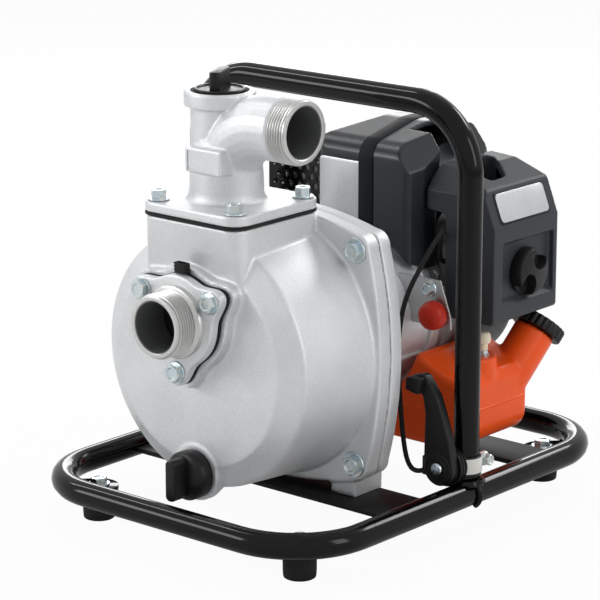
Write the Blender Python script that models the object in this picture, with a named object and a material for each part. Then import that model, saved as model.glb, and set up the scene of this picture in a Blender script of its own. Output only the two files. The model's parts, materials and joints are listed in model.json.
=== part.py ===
"""Portable engine-driven water pump on a tube frame, modelled piece by piece.

Metres, +Z up. -Y is the pump's suction side, +Y the engine's starter side,
+X the discharge side. The feet stand on Z = 0 and the frame is centred on X and Y.
"""
import math

import bmesh
import bpy
from mathutils import Matrix, Vector

# Clearance kept between neighbouring pieces
GAP = 0.0003

# Tube frame
TUBE_R = 0.00975
RAIL_X = 0.136
RAIL_Y = 0.183
RAIL_Z = 0.0323
RAIL_BEND = 0.060
HOOP_X = 0.133
HOOP_Y = 0.0044
HOOP_Z = 0.3221
HOOP_BEND = 0.051
FOOT_X = 0.100
FOOT_Y = 0.147
FOOT_R = 0.012
TAB_TOP = 0.0325
TAB_THICK = 0.004
PLATE_TOP = 0.0330
PLATE_THICK = 0.004
FRONT_PLATE_Y = (-0.078, -0.030)
REAR_PLATE_Y = (0.086, 0.126)

# Pump casing
AXIS_Z = 0.1405
DRUM_R = 0.100
DRUM_FILLET = 0.025
DRUM_WALL = 0.007
DRUM_FRONT = -0.1467
FLANGE_FRONT = -0.0632
FLANGE_BACK = -0.0502
FLANGE_BOLT = 0.081
FLANGE_LUG = 0.0125
FLANGE_BULGE = 0.011
BOX_X = 0.047
BOX_Y = (-0.154, -0.0595)
BOX_CORNER = 0.014
BOX_WALL = 0.007
BOX_TOP = 0.2458
PUMP_FOOT_X = (0.0576, 0.0807)

# Suction port
SUCTION_Z = 0.1758
PAD_FRONT = -0.156
SUCTION_GASKET = 0.0023
SUCTION_PLATE = 0.008
SUCTION_END = -0.1895
PORT_R = 0.0239
PORT_BORE = 0.01925
SUCTION_BOLT_R = 0.038
SUCTION_CORE_R = 0.034
SUCTION_LOBE = 0.0145
VALVE_BORE = 0.0240

# Discharge elbow
ELBOW_GASKET = 0.0023
ELBOW_PLATE = 0.0077
ELBOW_HALF = 0.048
ELBOW_Y = -0.1067
ELBOW_BOLT = 0.037
RISER_X = -0.004
RISER_R = 0.0272
OUTLET_Z = 0.3131
OUTLET_R = 0.0225
BEND_STEPS = 4
OUTLET_END = 0.0702
THREAD_LENGTH = 0.018
NECK_X = -0.010
NECK_R = 0.0225
COLLAR_R = 0.0261
COLLAR_Z = (0.3236, 0.3345)

# Drain plug
DRAIN_Z = 0.057
DRAIN_R = 0.020
DRAIN_BAR = (0.009, 0.031, 0.026)

# Pump back plate, adapter and engine
BACK_PLATE = (-0.0485, -0.0362)
ADAPTER_R = 0.058
ADAPTER_BACK = 0.052
ADAPTER_RIM_R = 0.063
ENGINE_FRONT = 0.062
CRANKCASE_R = 0.047
CRANKCASE_BACK = 0.118
BARREL_Y = 0.092
BARREL_TOP = 0.250
SHAFT_R = 0.008
FLYWHEEL_Y = (0.126, 0.148)
STARTER_R = 0.060
STARTER_BACK = 0.172

# Covers, tank and controls
COVER_X = (-0.037, 0.0515)
COVER_FRONT = 0.040
COVER_BACK = 0.140
COVER_TOP = 0.286
COVER_ARCH = 0.0645
FILTER_FRONT = 0.055
FILTER_BACK = 0.136
FILTER_LEFT = 0.072
FILTER_RIGHT = 0.118
WING_LEFT = 0.054
KNOB_Y = 0.099
KNOB_Z = 0.1815
KNOB_R = 0.018
TANK_Y = (0.030, 0.116)
TANK_BOTTOM = 0.050
TANK_X = (-0.096, 0.108)
NECK_AXIS = Vector((0.15, 0.62, 0.77)).normalized()
NECK_FOOT = Vector((0.0905, 0.1005, 0.080))
NECK_LENGTH = 0.056
TANK_NECK_R = 0.0165
FUEL_CAP = (0.0215, 0.010)
BRACKET_FRONT = 0.0330
BUTTON_X = 0.0836
BUTTON_Z = 0.1552
BUTTON_R = 0.0102

# Throttle: the lever's edge is given from its pivot, up the right side and down the left
PIVOT = Vector((0.1255, -0.0123, 0.0550))
PIVOT_R = 0.0145
LEVER_THICK = 0.008
LEVER_EDGE = [(0.0095, 0.0230), (0.0035, 0.0400), (-0.0025, 0.0555), (-0.0140, 0.0700),
              (-0.0260, 0.0665), (-0.0265, 0.0575), (-0.0150, 0.0535), (-0.0125, 0.0400)]
CABLE_R = 0.0019
CABLE_ROUTE = [(0.1103, -0.0085, 0.0520), (0.1000, -0.0080, 0.0450), (0.0840, 0.0000, 0.0430),
               (0.0740, 0.0050, 0.0560), (0.0700, 0.0040, 0.0950), (0.0690, 0.0030, 0.1350),
               (0.0720, 0.0080, 0.1700), (0.0790, 0.0250, 0.2020), (0.0800, 0.0420, 0.2170),
               (0.0690, 0.0530, 0.2060), (0.0625, 0.0620, 0.1880), (0.0620, 0.0755, 0.1850)]

# Local axes of a piece, as (local x, local y, local z) in the world
FACING = {
    "up": ((1, 0, 0), (0, 1, 0), (0, 0, 1)),
    "down": ((1, 0, 0), (0, -1, 0), (0, 0, -1)),
    "front": ((1, 0, 0), (0, 0, 1), (0, -1, 0)),
    "back": ((-1, 0, 0), (0, 0, 1), (0, 1, 0)),
    "right": ((0, 1, 0), (0, 0, 1), (1, 0, 0)),
    "left": ((0, -1, 0), (0, 0, 1), (-1, 0, 0)),
}


def clear_scene():
    for old in list(bpy.data.objects):
        bpy.data.objects.remove(old, do_unlink=True)


def finish(name, colour, roughness, metallic):
    """A Principled material for one kind of surface."""
    made = bpy.data.materials.new(name)
    made.use_nodes = True
    shader = made.node_tree.nodes["Principled BSDF"]
    shader.inputs["Base Color"].default_value = (*colour, 1.0)
    shader.inputs["Roughness"].default_value = roughness
    shader.inputs["Metallic"].default_value = metallic
    return made


def axes_matrix(facing):
    """Rotation that turns local x, y, z to the named facing's axes."""
    columns = FACING[facing] if isinstance(facing, str) else facing
    return Matrix(columns).transposed().to_4x4()


def axes_along(direction):
    """Local axes whose z runs along a direction."""
    z = Vector(direction).normalized()
    x = Vector((0, 0, 1)).cross(z).normalized()
    return (tuple(x), tuple(z.cross(x)), tuple(z))


def place(name, shape, surface=None, facing="up", at=(0, 0, 0)):
    """Make an object of a shape; without a surface it is only a cutter or a filler."""
    bmesh.ops.transform(shape, matrix=axes_matrix(facing), verts=shape.verts)
    bmesh.ops.recalc_face_normals(shape, faces=shape.faces)
    mesh = bpy.data.meshes.new(name)
    shape.to_mesh(mesh)
    shape.free()
    made = bpy.data.objects.new(name, mesh)
    made.location = at
    bpy.context.collection.objects.link(made)
    if surface is None:
        made.hide_render = True
        made.display_type = "WIRE"
    else:
        mesh.materials.append(surface)
        mesh.shade_smooth()
        mesh.set_sharp_from_angle(angle=math.radians(35))
    return made


def combine(target, other, operation):
    step = target.modifiers.new(operation.lower(), "BOOLEAN")
    step.operation = operation
    step.object = other
    return target


def fuse(target, *others):
    for other in others:
        combine(target, other, "UNION")


def cut(target, *others):
    for other in others:
        combine(target, other, "DIFFERENCE")


def bevel(target, width, segments=2, angle=30):
    step = target.modifiers.new("bevel", "BEVEL")
    step.width = width
    step.segments = segments
    step.limit_method = "ANGLE"
    step.angle_limit = math.radians(angle)
    step.harden_normals = False
    return target


def prism(outline, low, high):
    """A closed outline (x, y) raised from one height to another."""
    shape = bmesh.new()
    face = shape.faces.new([shape.verts.new((x, y, low)) for x, y in outline])
    raised = bmesh.ops.extrude_face_region(shape, geom=[face])
    verts = [item for item in raised["geom"] if isinstance(item, bmesh.types.BMVert)]
    bmesh.ops.translate(shape, vec=(0, 0, high - low), verts=verts)
    return shape


def turned(profile, segments=20):
    """A profile of (radius, height) turned about local z; it is closed on itself."""
    shape = bmesh.new()
    points = [shape.verts.new((radius, 0, height)) for radius, height in profile]
    edges = [shape.edges.new((a, b)) for a, b in zip(points, points[1:] + points[:1])]
    bmesh.ops.spin(shape, geom=points + edges, cent=(0, 0, 0), axis=(0, 0, 1),
                   angle=math.tau, steps=segments, use_merge=True)
    bmesh.ops.remove_doubles(shape, verts=shape.verts, dist=1e-6)
    bmesh.ops.dissolve_degenerate(shape, edges=shape.edges, dist=1e-7)
    loose = [edge for edge in shape.edges if not edge.link_faces]
    bmesh.ops.delete(shape, geom=loose, context="EDGES")
    return shape


def rod(radius, low, high, segments=16, chamfer=0.0):
    """A round bar along local z, with its far end chamfered if asked."""
    profile = [(0, low), (radius, low), (radius, high - chamfer)]
    if chamfer:
        profile.append((radius - chamfer, high))
    profile.append((0, high))
    return turned(profile, segments)


def ring(inner, outer, low, high, segments=20):
    return turned([(inner, low), (outer, low), (outer, high), (inner, high)], segments)


def arc(centre, radius, start, end, steps):
    """Points on an arc, angles in degrees."""
    span = [math.radians(start + (end - start) * i / steps) for i in range(steps + 1)]
    return [(centre[0] + radius * math.cos(a), centre[1] + radius * math.sin(a)) for a in span]


def rounded(points, radius, steps=4):
    """A polygon with each corner rounded; radius is one value or one for each corner."""
    radii = radius if isinstance(radius, (list, tuple)) else [radius] * len(points)
    outline = []
    for i, corner in enumerate(points):
        here = Vector(corner)
        before = (Vector(points[i - 1]) - here).normalized()
        after = (Vector(points[(i + 1) % len(points)]) - here).normalized()
        if radii[i] <= 0:
            outline.append(tuple(here))
            continue
        half = before.angle(after) / 2
        reach = radii[i] / math.tan(half)
        middle = here + (before + after).normalized() * radii[i] / math.sin(half)
        first = here + before * reach - middle
        turn = first.angle_signed(here + after * reach - middle)
        for k in range(steps + 1):
            spoke = first.copy()
            spoke.rotate(Matrix.Rotation(-turn * k / steps, 2))
            outline.append(tuple(middle + spoke))
    return outline


def box_outline(x, y, radius, steps=4):
    """A rounded rectangle from its x range and y range."""
    corners = [(x[0], y[0]), (x[1], y[0]), (x[1], y[1]), (x[0], y[1])]
    return rounded(corners, radius, steps)


def swept(path, radius, sides=12, closed=False):
    """A round tube along a path; radius is one value or one for each point."""
    points = [Vector(p) for p in path]
    count = len(points)
    radii = radius if isinstance(radius, (list, tuple)) else [radius] * count
    shape = bmesh.new()
    rings = []
    normal = None
    for i, point in enumerate(points):
        ahead = points[(i + 1) % count] if closed or i < count - 1 else point
        behind = points[i - 1] if closed or i > 0 else point
        along = (ahead - behind).normalized()
        if normal is None:
            normal = along.orthogonal().normalized()
        normal = (normal - along * normal.dot(along)).normalized()
        side = along.cross(normal)
        turns = [math.tau * (k + 0.5) / sides for k in range(sides)]
        spokes = [(normal * math.cos(t) + side * math.sin(t)) * radii[i] for t in turns]
        rings.append([shape.verts.new(point + spoke) for spoke in spokes])
    pairs = list(zip(rings, rings[1:]))
    if closed:
        pairs.append((rings[-1], rings[0]))
    else:
        shape.faces.new(rings[0])
        shape.faces.new(rings[-1])
    for one, two in pairs:
        for k in range(sides):
            n = (k + 1) % sides
            shape.faces.new((one[k], one[n], two[n], two[k]))
    return shape


def hex_bolt(name, head, shank, length, surface, facing, at):
    """A hexagon-headed bolt; the shank runs down from local z = 0."""
    return place(name, turned([
        (0, -length), (shank, -length), (shank, GAP), (head, GAP), (head, 0.0055),
        (0, 0.0055)], 6), surface, facing, at)


def flange_outline(grow=0.0):
    """Square pump flange: four bolt lugs joined by sides that bulge round the drum."""
    half = FLANGE_BOLT
    lug = FLANGE_LUG + grow
    corners = [(half, half), (-half, half), (-half, -half), (half, -half)]
    outline = []
    for quarter, centre in enumerate(corners):
        start = 90 * quarter
        outline += arc(centre, lug, start, start + 90, 3)
        here = Vector(outline[-1])
        out = Vector((math.cos(math.radians(start + 90)), math.sin(math.radians(start + 90))))
        there = Vector(corners[(quarter + 1) % 4]) + out * lug
        for k in range(1, 4):
            t = k / 4
            outline.append(tuple(here.lerp(there, t) + out * FLANGE_BULGE * 4 * t * (1 - t)))
    return outline


def suction_outline(grow=0.0, steps=36):
    """Round flange with a lobe at each of three bolts."""
    lobes = [math.radians(a) for a in (30, 150, 270)]
    outline = []
    for k in range(steps):
        turn = math.tau * k / steps
        reach = SUCTION_CORE_R + grow
        for lobe in lobes:
            off = math.remainder(turn - lobe, math.tau)
            reach += SUCTION_LOBE * math.exp(-(off / 0.27) ** 2)
        outline.append((reach * math.cos(turn), reach * math.sin(turn)))
    return outline


def suction_bolt_places():
    return [(SUCTION_BOLT_R * math.cos(math.radians(a)),
             SUCTION_Z + SUCTION_BOLT_R * math.sin(math.radians(a))) for a in (30, 150, 270)]


def frame_corner_path(x, y, radius, z, steps=5):
    """Centre line of the base loop, corner by corner."""
    path = []
    for sx, sy, start in ((1, 1, 0), (-1, 1, 90), (-1, -1, 180), (1, -1, 270)):
        centre = (sx * (x - radius), sy * (y - radius))
        path += [(px, py, z) for px, py in arc(centre, radius, start, start + 90, steps)]
    return path


def build_base_frame(paint):
    loop = frame_corner_path(RAIL_X, RAIL_Y, RAIL_BEND, RAIL_Z)
    frame = place("base_frame", swept(loop, TUBE_R, 10, closed=True), paint)
    for sx in (-1, 1):
        for sy in (-1, 1):
            outward = Vector((sx, sy)).normalized()
            across = Vector((-outward.y, outward.x))
            middle = Vector((sx * FOOT_X, sy * FOOT_Y))
            reach = 0.0255
            wide = 0.015
            ends = [middle + outward * reach + across * wide, middle + outward * reach - across * wide]
            start = math.degrees(math.atan2(outward.y, outward.x))
            nose = arc(middle, wide, start + 90, start + 270, 4)
            outline = [tuple(ends[1]), tuple(ends[0])] + nose
            name = "base_frame_tab_%+d_%+d" % (sx, sy)
            tab = place(name, prism(outline, TAB_TOP - TAB_THICK, TAB_TOP))
            fuse(frame, tab)
    for sx in (-1, 1):
        for sy in (-1, 1):
            name = "base_frame_hole_%+d_%+d" % (sx, sy)
            cut(frame, place(name, rod(0.0034, 0.02, 0.045, 8), None, "up",
                             (sx * FOOT_X, sy * FOOT_Y, 0)))
    return frame


def build_carry_hoop(paint):
    foot = RAIL_Z + 0.003
    left = [(-HOOP_X, HOOP_Y, foot)]
    right = [(-x, y, z) for x, y, z in reversed(left)]
    centre = (HOOP_X - HOOP_BEND, HOOP_Z - HOOP_BEND)
    bend_left = [(-px, HOOP_Y, pz) for px, pz in arc(centre, HOOP_BEND, 0, 90, 5)]
    bend_right = [(px, HOOP_Y, pz) for px, pz in arc(centre, HOOP_BEND, 90, 0, 5)]
    hoop = place("carry_hoop", swept(left + bend_left + bend_right + right, TUBE_R, 10), paint)
    for side in (-1, 1):
        rail = rod(TUBE_R + GAP, -0.03, 0.03, 14)
        cut(hoop, place("hoop_cope_%+d" % side, rail, None, "front", (side * RAIL_X, HOOP_Y, RAIL_Z)))
    return hoop


def build_cross_plate(name, y_range, hole_x, hole_y, paint):
    """Flat steel cross member with rounded corners, welded between the side rails."""
    edge = RAIL_X - TUBE_R - GAP
    low = PLATE_TOP - PLATE_THICK
    plate = place(name, prism(box_outline((-edge, edge), y_range, 0.003, 2), low, PLATE_TOP), paint)
    for side in (-1, 1):
        cut(plate, place("%s_hole_%+d" % (name, side), rod(0.0045, 0.02, 0.05, 8), None,
                         "up", (side * hole_x, hole_y, 0)))
    return plate


def build_feet(rubber, zinc):
    top = TAB_TOP - TAB_THICK - GAP
    for index, (sx, sy) in enumerate(((-1, -1), (1, -1), (-1, 1), (1, 1)), 1):
        at = (sx * FOOT_X, sy * FOOT_Y, 0)
        hole = 0.0036
        foot = turned([(0, 0), (FOOT_R - 0.001, 0), (FOOT_R, 0.001), (FOOT_R, top - 0.002),
                       (FOOT_R - 0.002, top), (hole, top), (hole, top - 0.0145), (0, top - 0.0145)], 12)
        place("rubber_foot_%d" % index, foot, rubber, "up", at)
        hex_bolt("foot_bolt_%d" % index, 0.0066, 0.003, 0.014, zinc, "up",
                 (at[0], at[1], TAB_TOP))


def drum_profile(radius, front, back, fillet):
    """Half section of the drum from its front centre round to its open back."""
    bend = [(radius - fillet + fillet * math.sin(math.radians(a)),
             -front - fillet + fillet * math.cos(math.radians(a))) for a in (0, 30, 60, 90)]
    return [(0, -back), (0, -front)] + bend + [(radius, -back)]


def build_pump_casing(cast):
    drum = turned(drum_profile(DRUM_R, DRUM_FRONT, FLANGE_BACK - 0.004, DRUM_FILLET), 30)
    casing = place("pump_casing", drum, cast, "front", (0, 0, AXIS_Z))
    flange = place("casing_flange", prism(flange_outline(), -FLANGE_BACK, -FLANGE_FRONT),
                   None, "front", (0, 0, AXIS_Z))
    box = place("casing_valve_box",
                prism(box_outline((-BOX_X, BOX_X), BOX_Y, BOX_CORNER, 4), 0.150, BOX_TOP))
    pad = place("casing_suction_pad", prism(suction_outline(0.0012), 0.130, -PAD_FRONT),
                None, "front", (0, 0, SUCTION_Z))
    boss = place("casing_drain_boss", turned([
        (0, 0.110), (0.0255, 0.110), (0.0235, 0.1475), (0, 0.1475)], 20),
        None, "front", (0, 0, DRAIN_Z))
    fuse(casing, flange, box, pad, boss)
    low = PLATE_TOP + GAP
    foot = [(FLANGE_FRONT + 0.001, low), (-0.0300, low), (-0.0300, 0.0395), (FLANGE_BACK - 0.001, 0.0395),
            (FLANGE_BACK - 0.001, 0.064), (FLANGE_FRONT + 0.001, 0.064)]
    for side in (-1, 1):
        x = sorted((side * PUMP_FOOT_X[0], side * PUMP_FOOT_X[1]))
        fuse(casing, place("casing_foot_%+d" % side, prism(foot, *x), None, "right"))
    inner = DRUM_R - DRUM_WALL
    hollow = drum_profile(inner, DRUM_FRONT + DRUM_WALL, FLANGE_BACK + 0.005, DRUM_FILLET - 0.004)
    cut(casing, place("casing_hollow", turned(hollow, 18), None, "front", (0, 0, AXIS_Z)))
    inside_x = BOX_X - BOX_WALL
    inside_y = (BOX_Y[0] + BOX_WALL, BOX_Y[1] - 0.012)
    cut(casing, place("casing_valve_hollow", prism(
        box_outline((-inside_x, inside_x), inside_y, 0.009, 3), 0.170, BOX_TOP + 0.01)))
    cut(casing, place("casing_suction_bore", rod(VALVE_BORE, 0.11, 0.17, 16),
                      None, "front", (0, 0, SUCTION_Z)))
    cut(casing, place("casing_drain_bore", rod(0.0105, 0.08, 0.17, 10),
                      None, "front", (0, 0, DRAIN_Z)))
    for x, z in flange_bolt_places():
        cut(casing, place("casing_bolt_hole", rod(0.0043, 0.04, 0.075, 6), None, "front", (x, 0, z)))
    for x, z in suction_bolt_places():
        cut(casing, place("casing_pad_hole", rod(0.0036, 0.146, 0.17, 6), None, "front", (x, 0, z)))
    for x, y in elbow_bolt_places():
        cut(casing, place("casing_box_hole", rod(0.0036, BOX_TOP - 0.016, BOX_TOP + 0.01, 6),
                          None, "up", (x, y, 0)))
    return casing


def flange_bolt_places():
    return [(sx * FLANGE_BOLT, AXIS_Z + sz * FLANGE_BOLT) for sx in (-1, 1) for sz in (-1, 1)]


def elbow_bolt_places():
    return [(sx * ELBOW_BOLT, ELBOW_Y + sy * ELBOW_BOLT) for sx in (-1, 1) for sy in (-1, 1)]


def build_suction(cast, rubber, zinc):
    gasket_front = PAD_FRONT - SUCTION_GASKET
    plate_front = gasket_front - GAP - SUCTION_PLATE
    centre = (0, 0, SUCTION_Z)
    flange = place("suction_flange", prism(suction_outline(), -gasket_front + GAP, -plate_front),
                   cast, "front", centre)
    pipe = turned([(0, 0.160), (0.0262, 0.160), (0.0262, -plate_front + 0.002),
                   (PORT_R, -plate_front + 0.0045), (PORT_R, -SUCTION_END - 0.0012),
                   (PORT_R - 0.0012, -SUCTION_END), (0, -SUCTION_END)], 20)
    fuse(flange, place("suction_pipe", pipe, None, "front", centre))
    cut(flange, place("suction_bore", rod(PORT_BORE, 0.15, 0.2, 16), None, "front", centre))
    gasket = place("suction_gasket", prism(suction_outline(-0.0004), -PAD_FRONT + GAP, -gasket_front),
                   rubber, "front", centre)
    back = PAD_FRONT - GAP - 0.0002
    tab = [(back, 0.030), (gasket_front + 0.0002, 0.030), (gasket_front + 0.0002, 0.0345),
           (PAD_FRONT - 0.0060, 0.0345), (PAD_FRONT - 0.0060, 0.0415), (back, 0.0415)]
    fuse(gasket, place("suction_gasket_tab", prism(tab, -0.0062, 0.0062), None, "right", centre))
    cut(gasket, place("suction_gasket_bore", rod(VALVE_BORE, 0.15, 0.17, 16), None, "front", centre))
    for index, (x, z) in enumerate(suction_bolt_places(), 1):
        for piece in (flange, gasket):
            cut(piece, place("suction_hole", rod(0.0036, 0.15, 0.18, 6), None, "front", (x, 0, z)))
        hex_bolt("suction_bolt_%d" % index, 0.0076, 0.003, 0.018, zinc, "front",
                 (x, plate_front, z))
    hinge = (0, PAD_FRONT, SUCTION_Z + 0.0205)
    flap = place("check_valve_flap", rod(0.0215, 0.0, 0.0021, 16), rubber, "front", hinge)
    flap.data.transform(Matrix.Translation((0, 0, -0.0205)))
    weight = place("flap_weight", rod(0.0150, -0.005, 0.001, 12), None, "front", centre)
    weight.location.y = PAD_FRONT
    fuse(flap, weight)
    return flange


def elbow_path():
    """Centre line of the bend, from the riser up and round to the outlet."""
    bend = 0.030
    start = OUTLET_Z - bend
    path = [(RISER_X, ELBOW_Y, z) for z in (0.250, 0.262, start)]
    turn = arc((RISER_X + bend, start), bend, 180, 90, BEND_STEPS)[1:]
    path += [(x, ELBOW_Y, z) for x, z in turn]
    path.append((OUTLET_END - THREAD_LENGTH, ELBOW_Y, OUTLET_Z))
    return path


def build_discharge(cast, rubber, zinc):
    low = BOX_TOP + ELBOW_GASKET
    y_range = (ELBOW_Y - ELBOW_HALF, ELBOW_Y + ELBOW_HALF)
    outline = box_outline((-ELBOW_HALF, ELBOW_HALF), y_range, BOX_CORNER, 3)
    elbow = place("discharge_elbow", prism(outline, low + GAP, low + ELBOW_PLATE), cast)
    path = elbow_path()
    radii = [RISER_R + 0.003, RISER_R, RISER_R] + [
        RISER_R + (OUTLET_R - RISER_R) * k / BEND_STEPS for k in range(1, BEND_STEPS + 1)] + [OUTLET_R]
    bend = place("elbow_bend", swept(path, radii, 12))
    outlet = turned([(0, 0.030), (OUTLET_R, 0.030), (OUTLET_R, OUTLET_END - THREAD_LENGTH),
                     (PORT_R, OUTLET_END - THREAD_LENGTH + 0.001), (PORT_R, OUTLET_END - 0.0012),
                     (PORT_R - 0.0012, OUTLET_END), (0, OUTLET_END)], 20)
    outlet = place("elbow_outlet", outlet, None, "right", (0, ELBOW_Y, OUTLET_Z))
    neck = turned([(0, 0.252), (NECK_R, 0.252), (NECK_R, COLLAR_Z[0]), (COLLAR_R, COLLAR_Z[0] + 0.001),
                   (COLLAR_R, COLLAR_Z[1] - 0.001), (COLLAR_R - 0.001, COLLAR_Z[1]),
                   (0, COLLAR_Z[1])], 18)
    neck = place("elbow_neck", neck, None, "up", (NECK_X, ELBOW_Y, 0))
    boss = place("elbow_boss", prism(box_outline((-0.017, 0.017), (0.2785, 0.2965), 0.0015, 2),
                                     0.120, 0.1372), None, "front")
    fuse(elbow, bend, outlet, neck, boss)
    bore = [(x, y, z) for x, y, z in path]
    bore[0] = (RISER_X, ELBOW_Y, 0.240)
    bore[-1] = (OUTLET_END + 0.01, ELBOW_Y, OUTLET_Z)
    cut(elbow, place("elbow_bore", swept(bore, PORT_BORE, 10)))
    cut(elbow, place("elbow_filler", rod(0.0175, 0.300, 0.345, 12), None, "up", (NECK_X, ELBOW_Y, 0)))
    cut(elbow, place("elbow_cap_seat", rod(0.0215, COLLAR_Z[1] - 0.0035, 0.345, 16), None, "up",
                     (NECK_X, ELBOW_Y, 0)))
    gasket = place("elbow_gasket", prism(outline, BOX_TOP + GAP, low), rubber)
    inside = BOX_X - BOX_WALL
    hole = box_outline((-inside, inside), (BOX_Y[0] + BOX_WALL, BOX_Y[1] - 0.012), 0.009, 3)
    cut(gasket, place("elbow_gasket_hole", prism(hole, 0.24, 0.26)))
    top = low + ELBOW_PLATE
    for index, (x, y) in enumerate(elbow_bolt_places(), 1):
        for piece in (elbow, gasket):
            cut(piece, place("elbow_hole", rod(0.0036, 0.24, 0.26, 6), None, "up", (x, y, 0)))
        hex_bolt("elbow_bolt_%d" % index, 0.0074, 0.003, 0.020, zinc, "up", (x, y, top))
    return elbow


def grip_cap(name, disc, bar, stem, surface, facing, at):
    """Round cap with a bar across it to turn it by, and a stem that screws in."""
    cap = place(name, turned([
        (0, -stem[1]), (stem[0], -stem[1]), (stem[0], 0), (disc[0] - 0.001, 0), (disc[0], 0.001),
        (disc[0], disc[1] - 0.001), (disc[0] - 0.001, disc[1]), (0, disc[1])], 16),
        surface, facing, at)
    width, length, height = bar
    grip = prism(box_outline((-width / 2, width / 2), (-length / 2, length / 2), 0.002, 2),
                 disc[1] - 0.001, height)
    fuse(cap, place(name + "_bar", grip, None, facing, at))
    return cap


def build_caps(plastic, rubber):
    seat = COLLAR_Z[1] - 0.0035
    seal = 0.0016
    at = (NECK_X, ELBOW_Y, seat + seal + GAP)
    grip_cap("priming_cap", (0.0190, 0.0035), (0.008, 0.030, 0.0165), (0.0145, 0.018),
             plastic, "up", at)
    place("priming_cap_seal", ring(0.0153, 0.0205, GAP, seal, 16), rubber, "up",
          (NECK_X, ELBOW_Y, seat))
    front = -0.1475
    at = (0, front - seal - GAP, DRAIN_Z)
    grip_cap("drain_plug", (DRAIN_R, 0.006), DRAIN_BAR, (0.0098, 0.020),
             plastic, "front", at)
    place("drain_plug_seal", ring(0.0105, 0.0180, GAP, seal, 16), rubber, "front", (0, front, DRAIN_Z))


def build_pump_back(cast, rubber, zinc):
    centre = (0, 0, AXIS_Z)
    plate = place("pump_back_plate", prism(flange_outline(-0.0006), -BACK_PLATE[1], -BACK_PLATE[0]),
                  cast, "front", centre)
    hub = place("back_plate_hub", turned([(0, 0.014), (0.044, 0.014), (0.046, 0.0400), (0, 0.0400)], 24),
                None, "front", centre)
    fuse(plate, hub)
    cut(plate, place("back_plate_bore", rod(0.0128, 0.0, 0.06, 16), None, "front", centre))
    gasket = place("casing_gasket", prism(flange_outline(-0.0010), -BACK_PLATE[0] + GAP,
                                          -FLANGE_BACK - GAP), rubber, "front", centre)
    cut(gasket, place("casing_gasket_hole", rod(0.0945, 0.03, 0.06, 20), None, "front", centre))
    for index, (x, z) in enumerate(flange_bolt_places(), 1):
        for piece in (plate, gasket):
            cut(piece, place("back_plate_hole", rod(0.0043, 0.03, 0.06, 6), None, "front", (x, 0, z)))
        hex_bolt("casing_bolt_%d" % index, 0.0082, 0.0038, 0.024, zinc, "front",
                 (x, FLANGE_FRONT, z))
    return plate


def impeller_vanes(count, start, end, low, high):
    """Backward-curved vanes between the hub and the rim, as one outline each."""
    outlines = []
    for index in range(count):
        lead = []
        trail = []
        for k in range(4):
            t = k / 3
            radius = start + (end - start) * t
            turn = math.tau * index / count - 1.05 * t
            thick = 0.0016 / radius
            lead.append((radius * math.cos(turn + thick), radius * math.sin(turn + thick)))
            trail.append((radius * math.cos(turn - thick), radius * math.sin(turn - thick)))
        outlines.append(prism(lead + trail[::-1], low, high))
    return outlines


def build_hydraulics(cast, steel, seal_mat):
    centre = (0, 0, AXIS_Z)
    impeller = place("impeller", turned([
        (SHAFT_R + GAP, 0.0545), (0.052, 0.0545), (0.052, 0.0585), (0.0150, 0.0620),
        (0.0135, 0.0760), (SHAFT_R + GAP, 0.0760)], 16), cast, "front", centre)
    for index, vane in enumerate(impeller_vanes(5, 0.016, 0.0515, 0.0575, 0.0720), 1):
        fuse(impeller, place("impeller_vane_%d" % index, vane, None, "front", centre))
    volute = turned([(0.0200, 0.0745), (0.0560, 0.0745), (0.0560, 0.0500), (0.0640, 0.0500),
                     (0.0640, 0.0800), (0.0250, 0.0800), (0.0250, 0.0950), (0.0200, 0.0950)], 16)
    volute = place("volute", volute, cast, "front", centre)
    cut(volute, place("volute_outlet", prism(box_outline((0.018, 0.052), (0.030, 0.075), 0.004, 2),
                                             0.0520, 0.0720), None, "front", centre))
    place("mechanical_seal", ring(0.0090, 0.0124, 0.0300, 0.0520, 16), seal_mat, "front", centre)
    place("crankshaft", turned([
        (0, 0.0800), (0.0072, 0.0800), (SHAFT_R, 0.0790), (SHAFT_R, -0.0600), (0.0098, -0.0602),
        (0.0098, -0.1160), (0.0065, -0.1240), (0.0065, -0.1560), (0, -0.1560)], 12),
        steel, "front", centre)
    return volute


def build_adapter(cast):
    """Bell between the pump and the engine, with a stepped rim and cast ribs."""
    front = -BACK_PLATE[1] - GAP
    back = -ADAPTER_BACK
    centre = (0, 0, AXIS_Z)
    outer = [(0.0470, front), (0.0600, front), (0.0600, front - 0.008), (ADAPTER_R, front - 0.012),
             (ADAPTER_R, back), (ADAPTER_RIM_R, back - 0.0005), (ADAPTER_RIM_R, -ENGINE_FRONT + GAP)]
    inner = [(0.0520, -ENGINE_FRONT + GAP), (0.0520, front - 0.012), (0.0470, front - 0.012)]
    adapter = place("adapter_housing", turned(outer + inner, 20), cast, "front", centre)
    for turn in (90, 205, 335):
        a = math.radians(turn)
        rib = prism(box_outline((0.056, 0.0605), (-0.002, 0.002), 0.0, 1), back, front - 0.006)
        made = place("adapter_rib_%d" % turn, rib, None, "front", centre)
        made.rotation_euler = (0, -a, 0)
        fuse(adapter, made)
    return adapter


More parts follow.
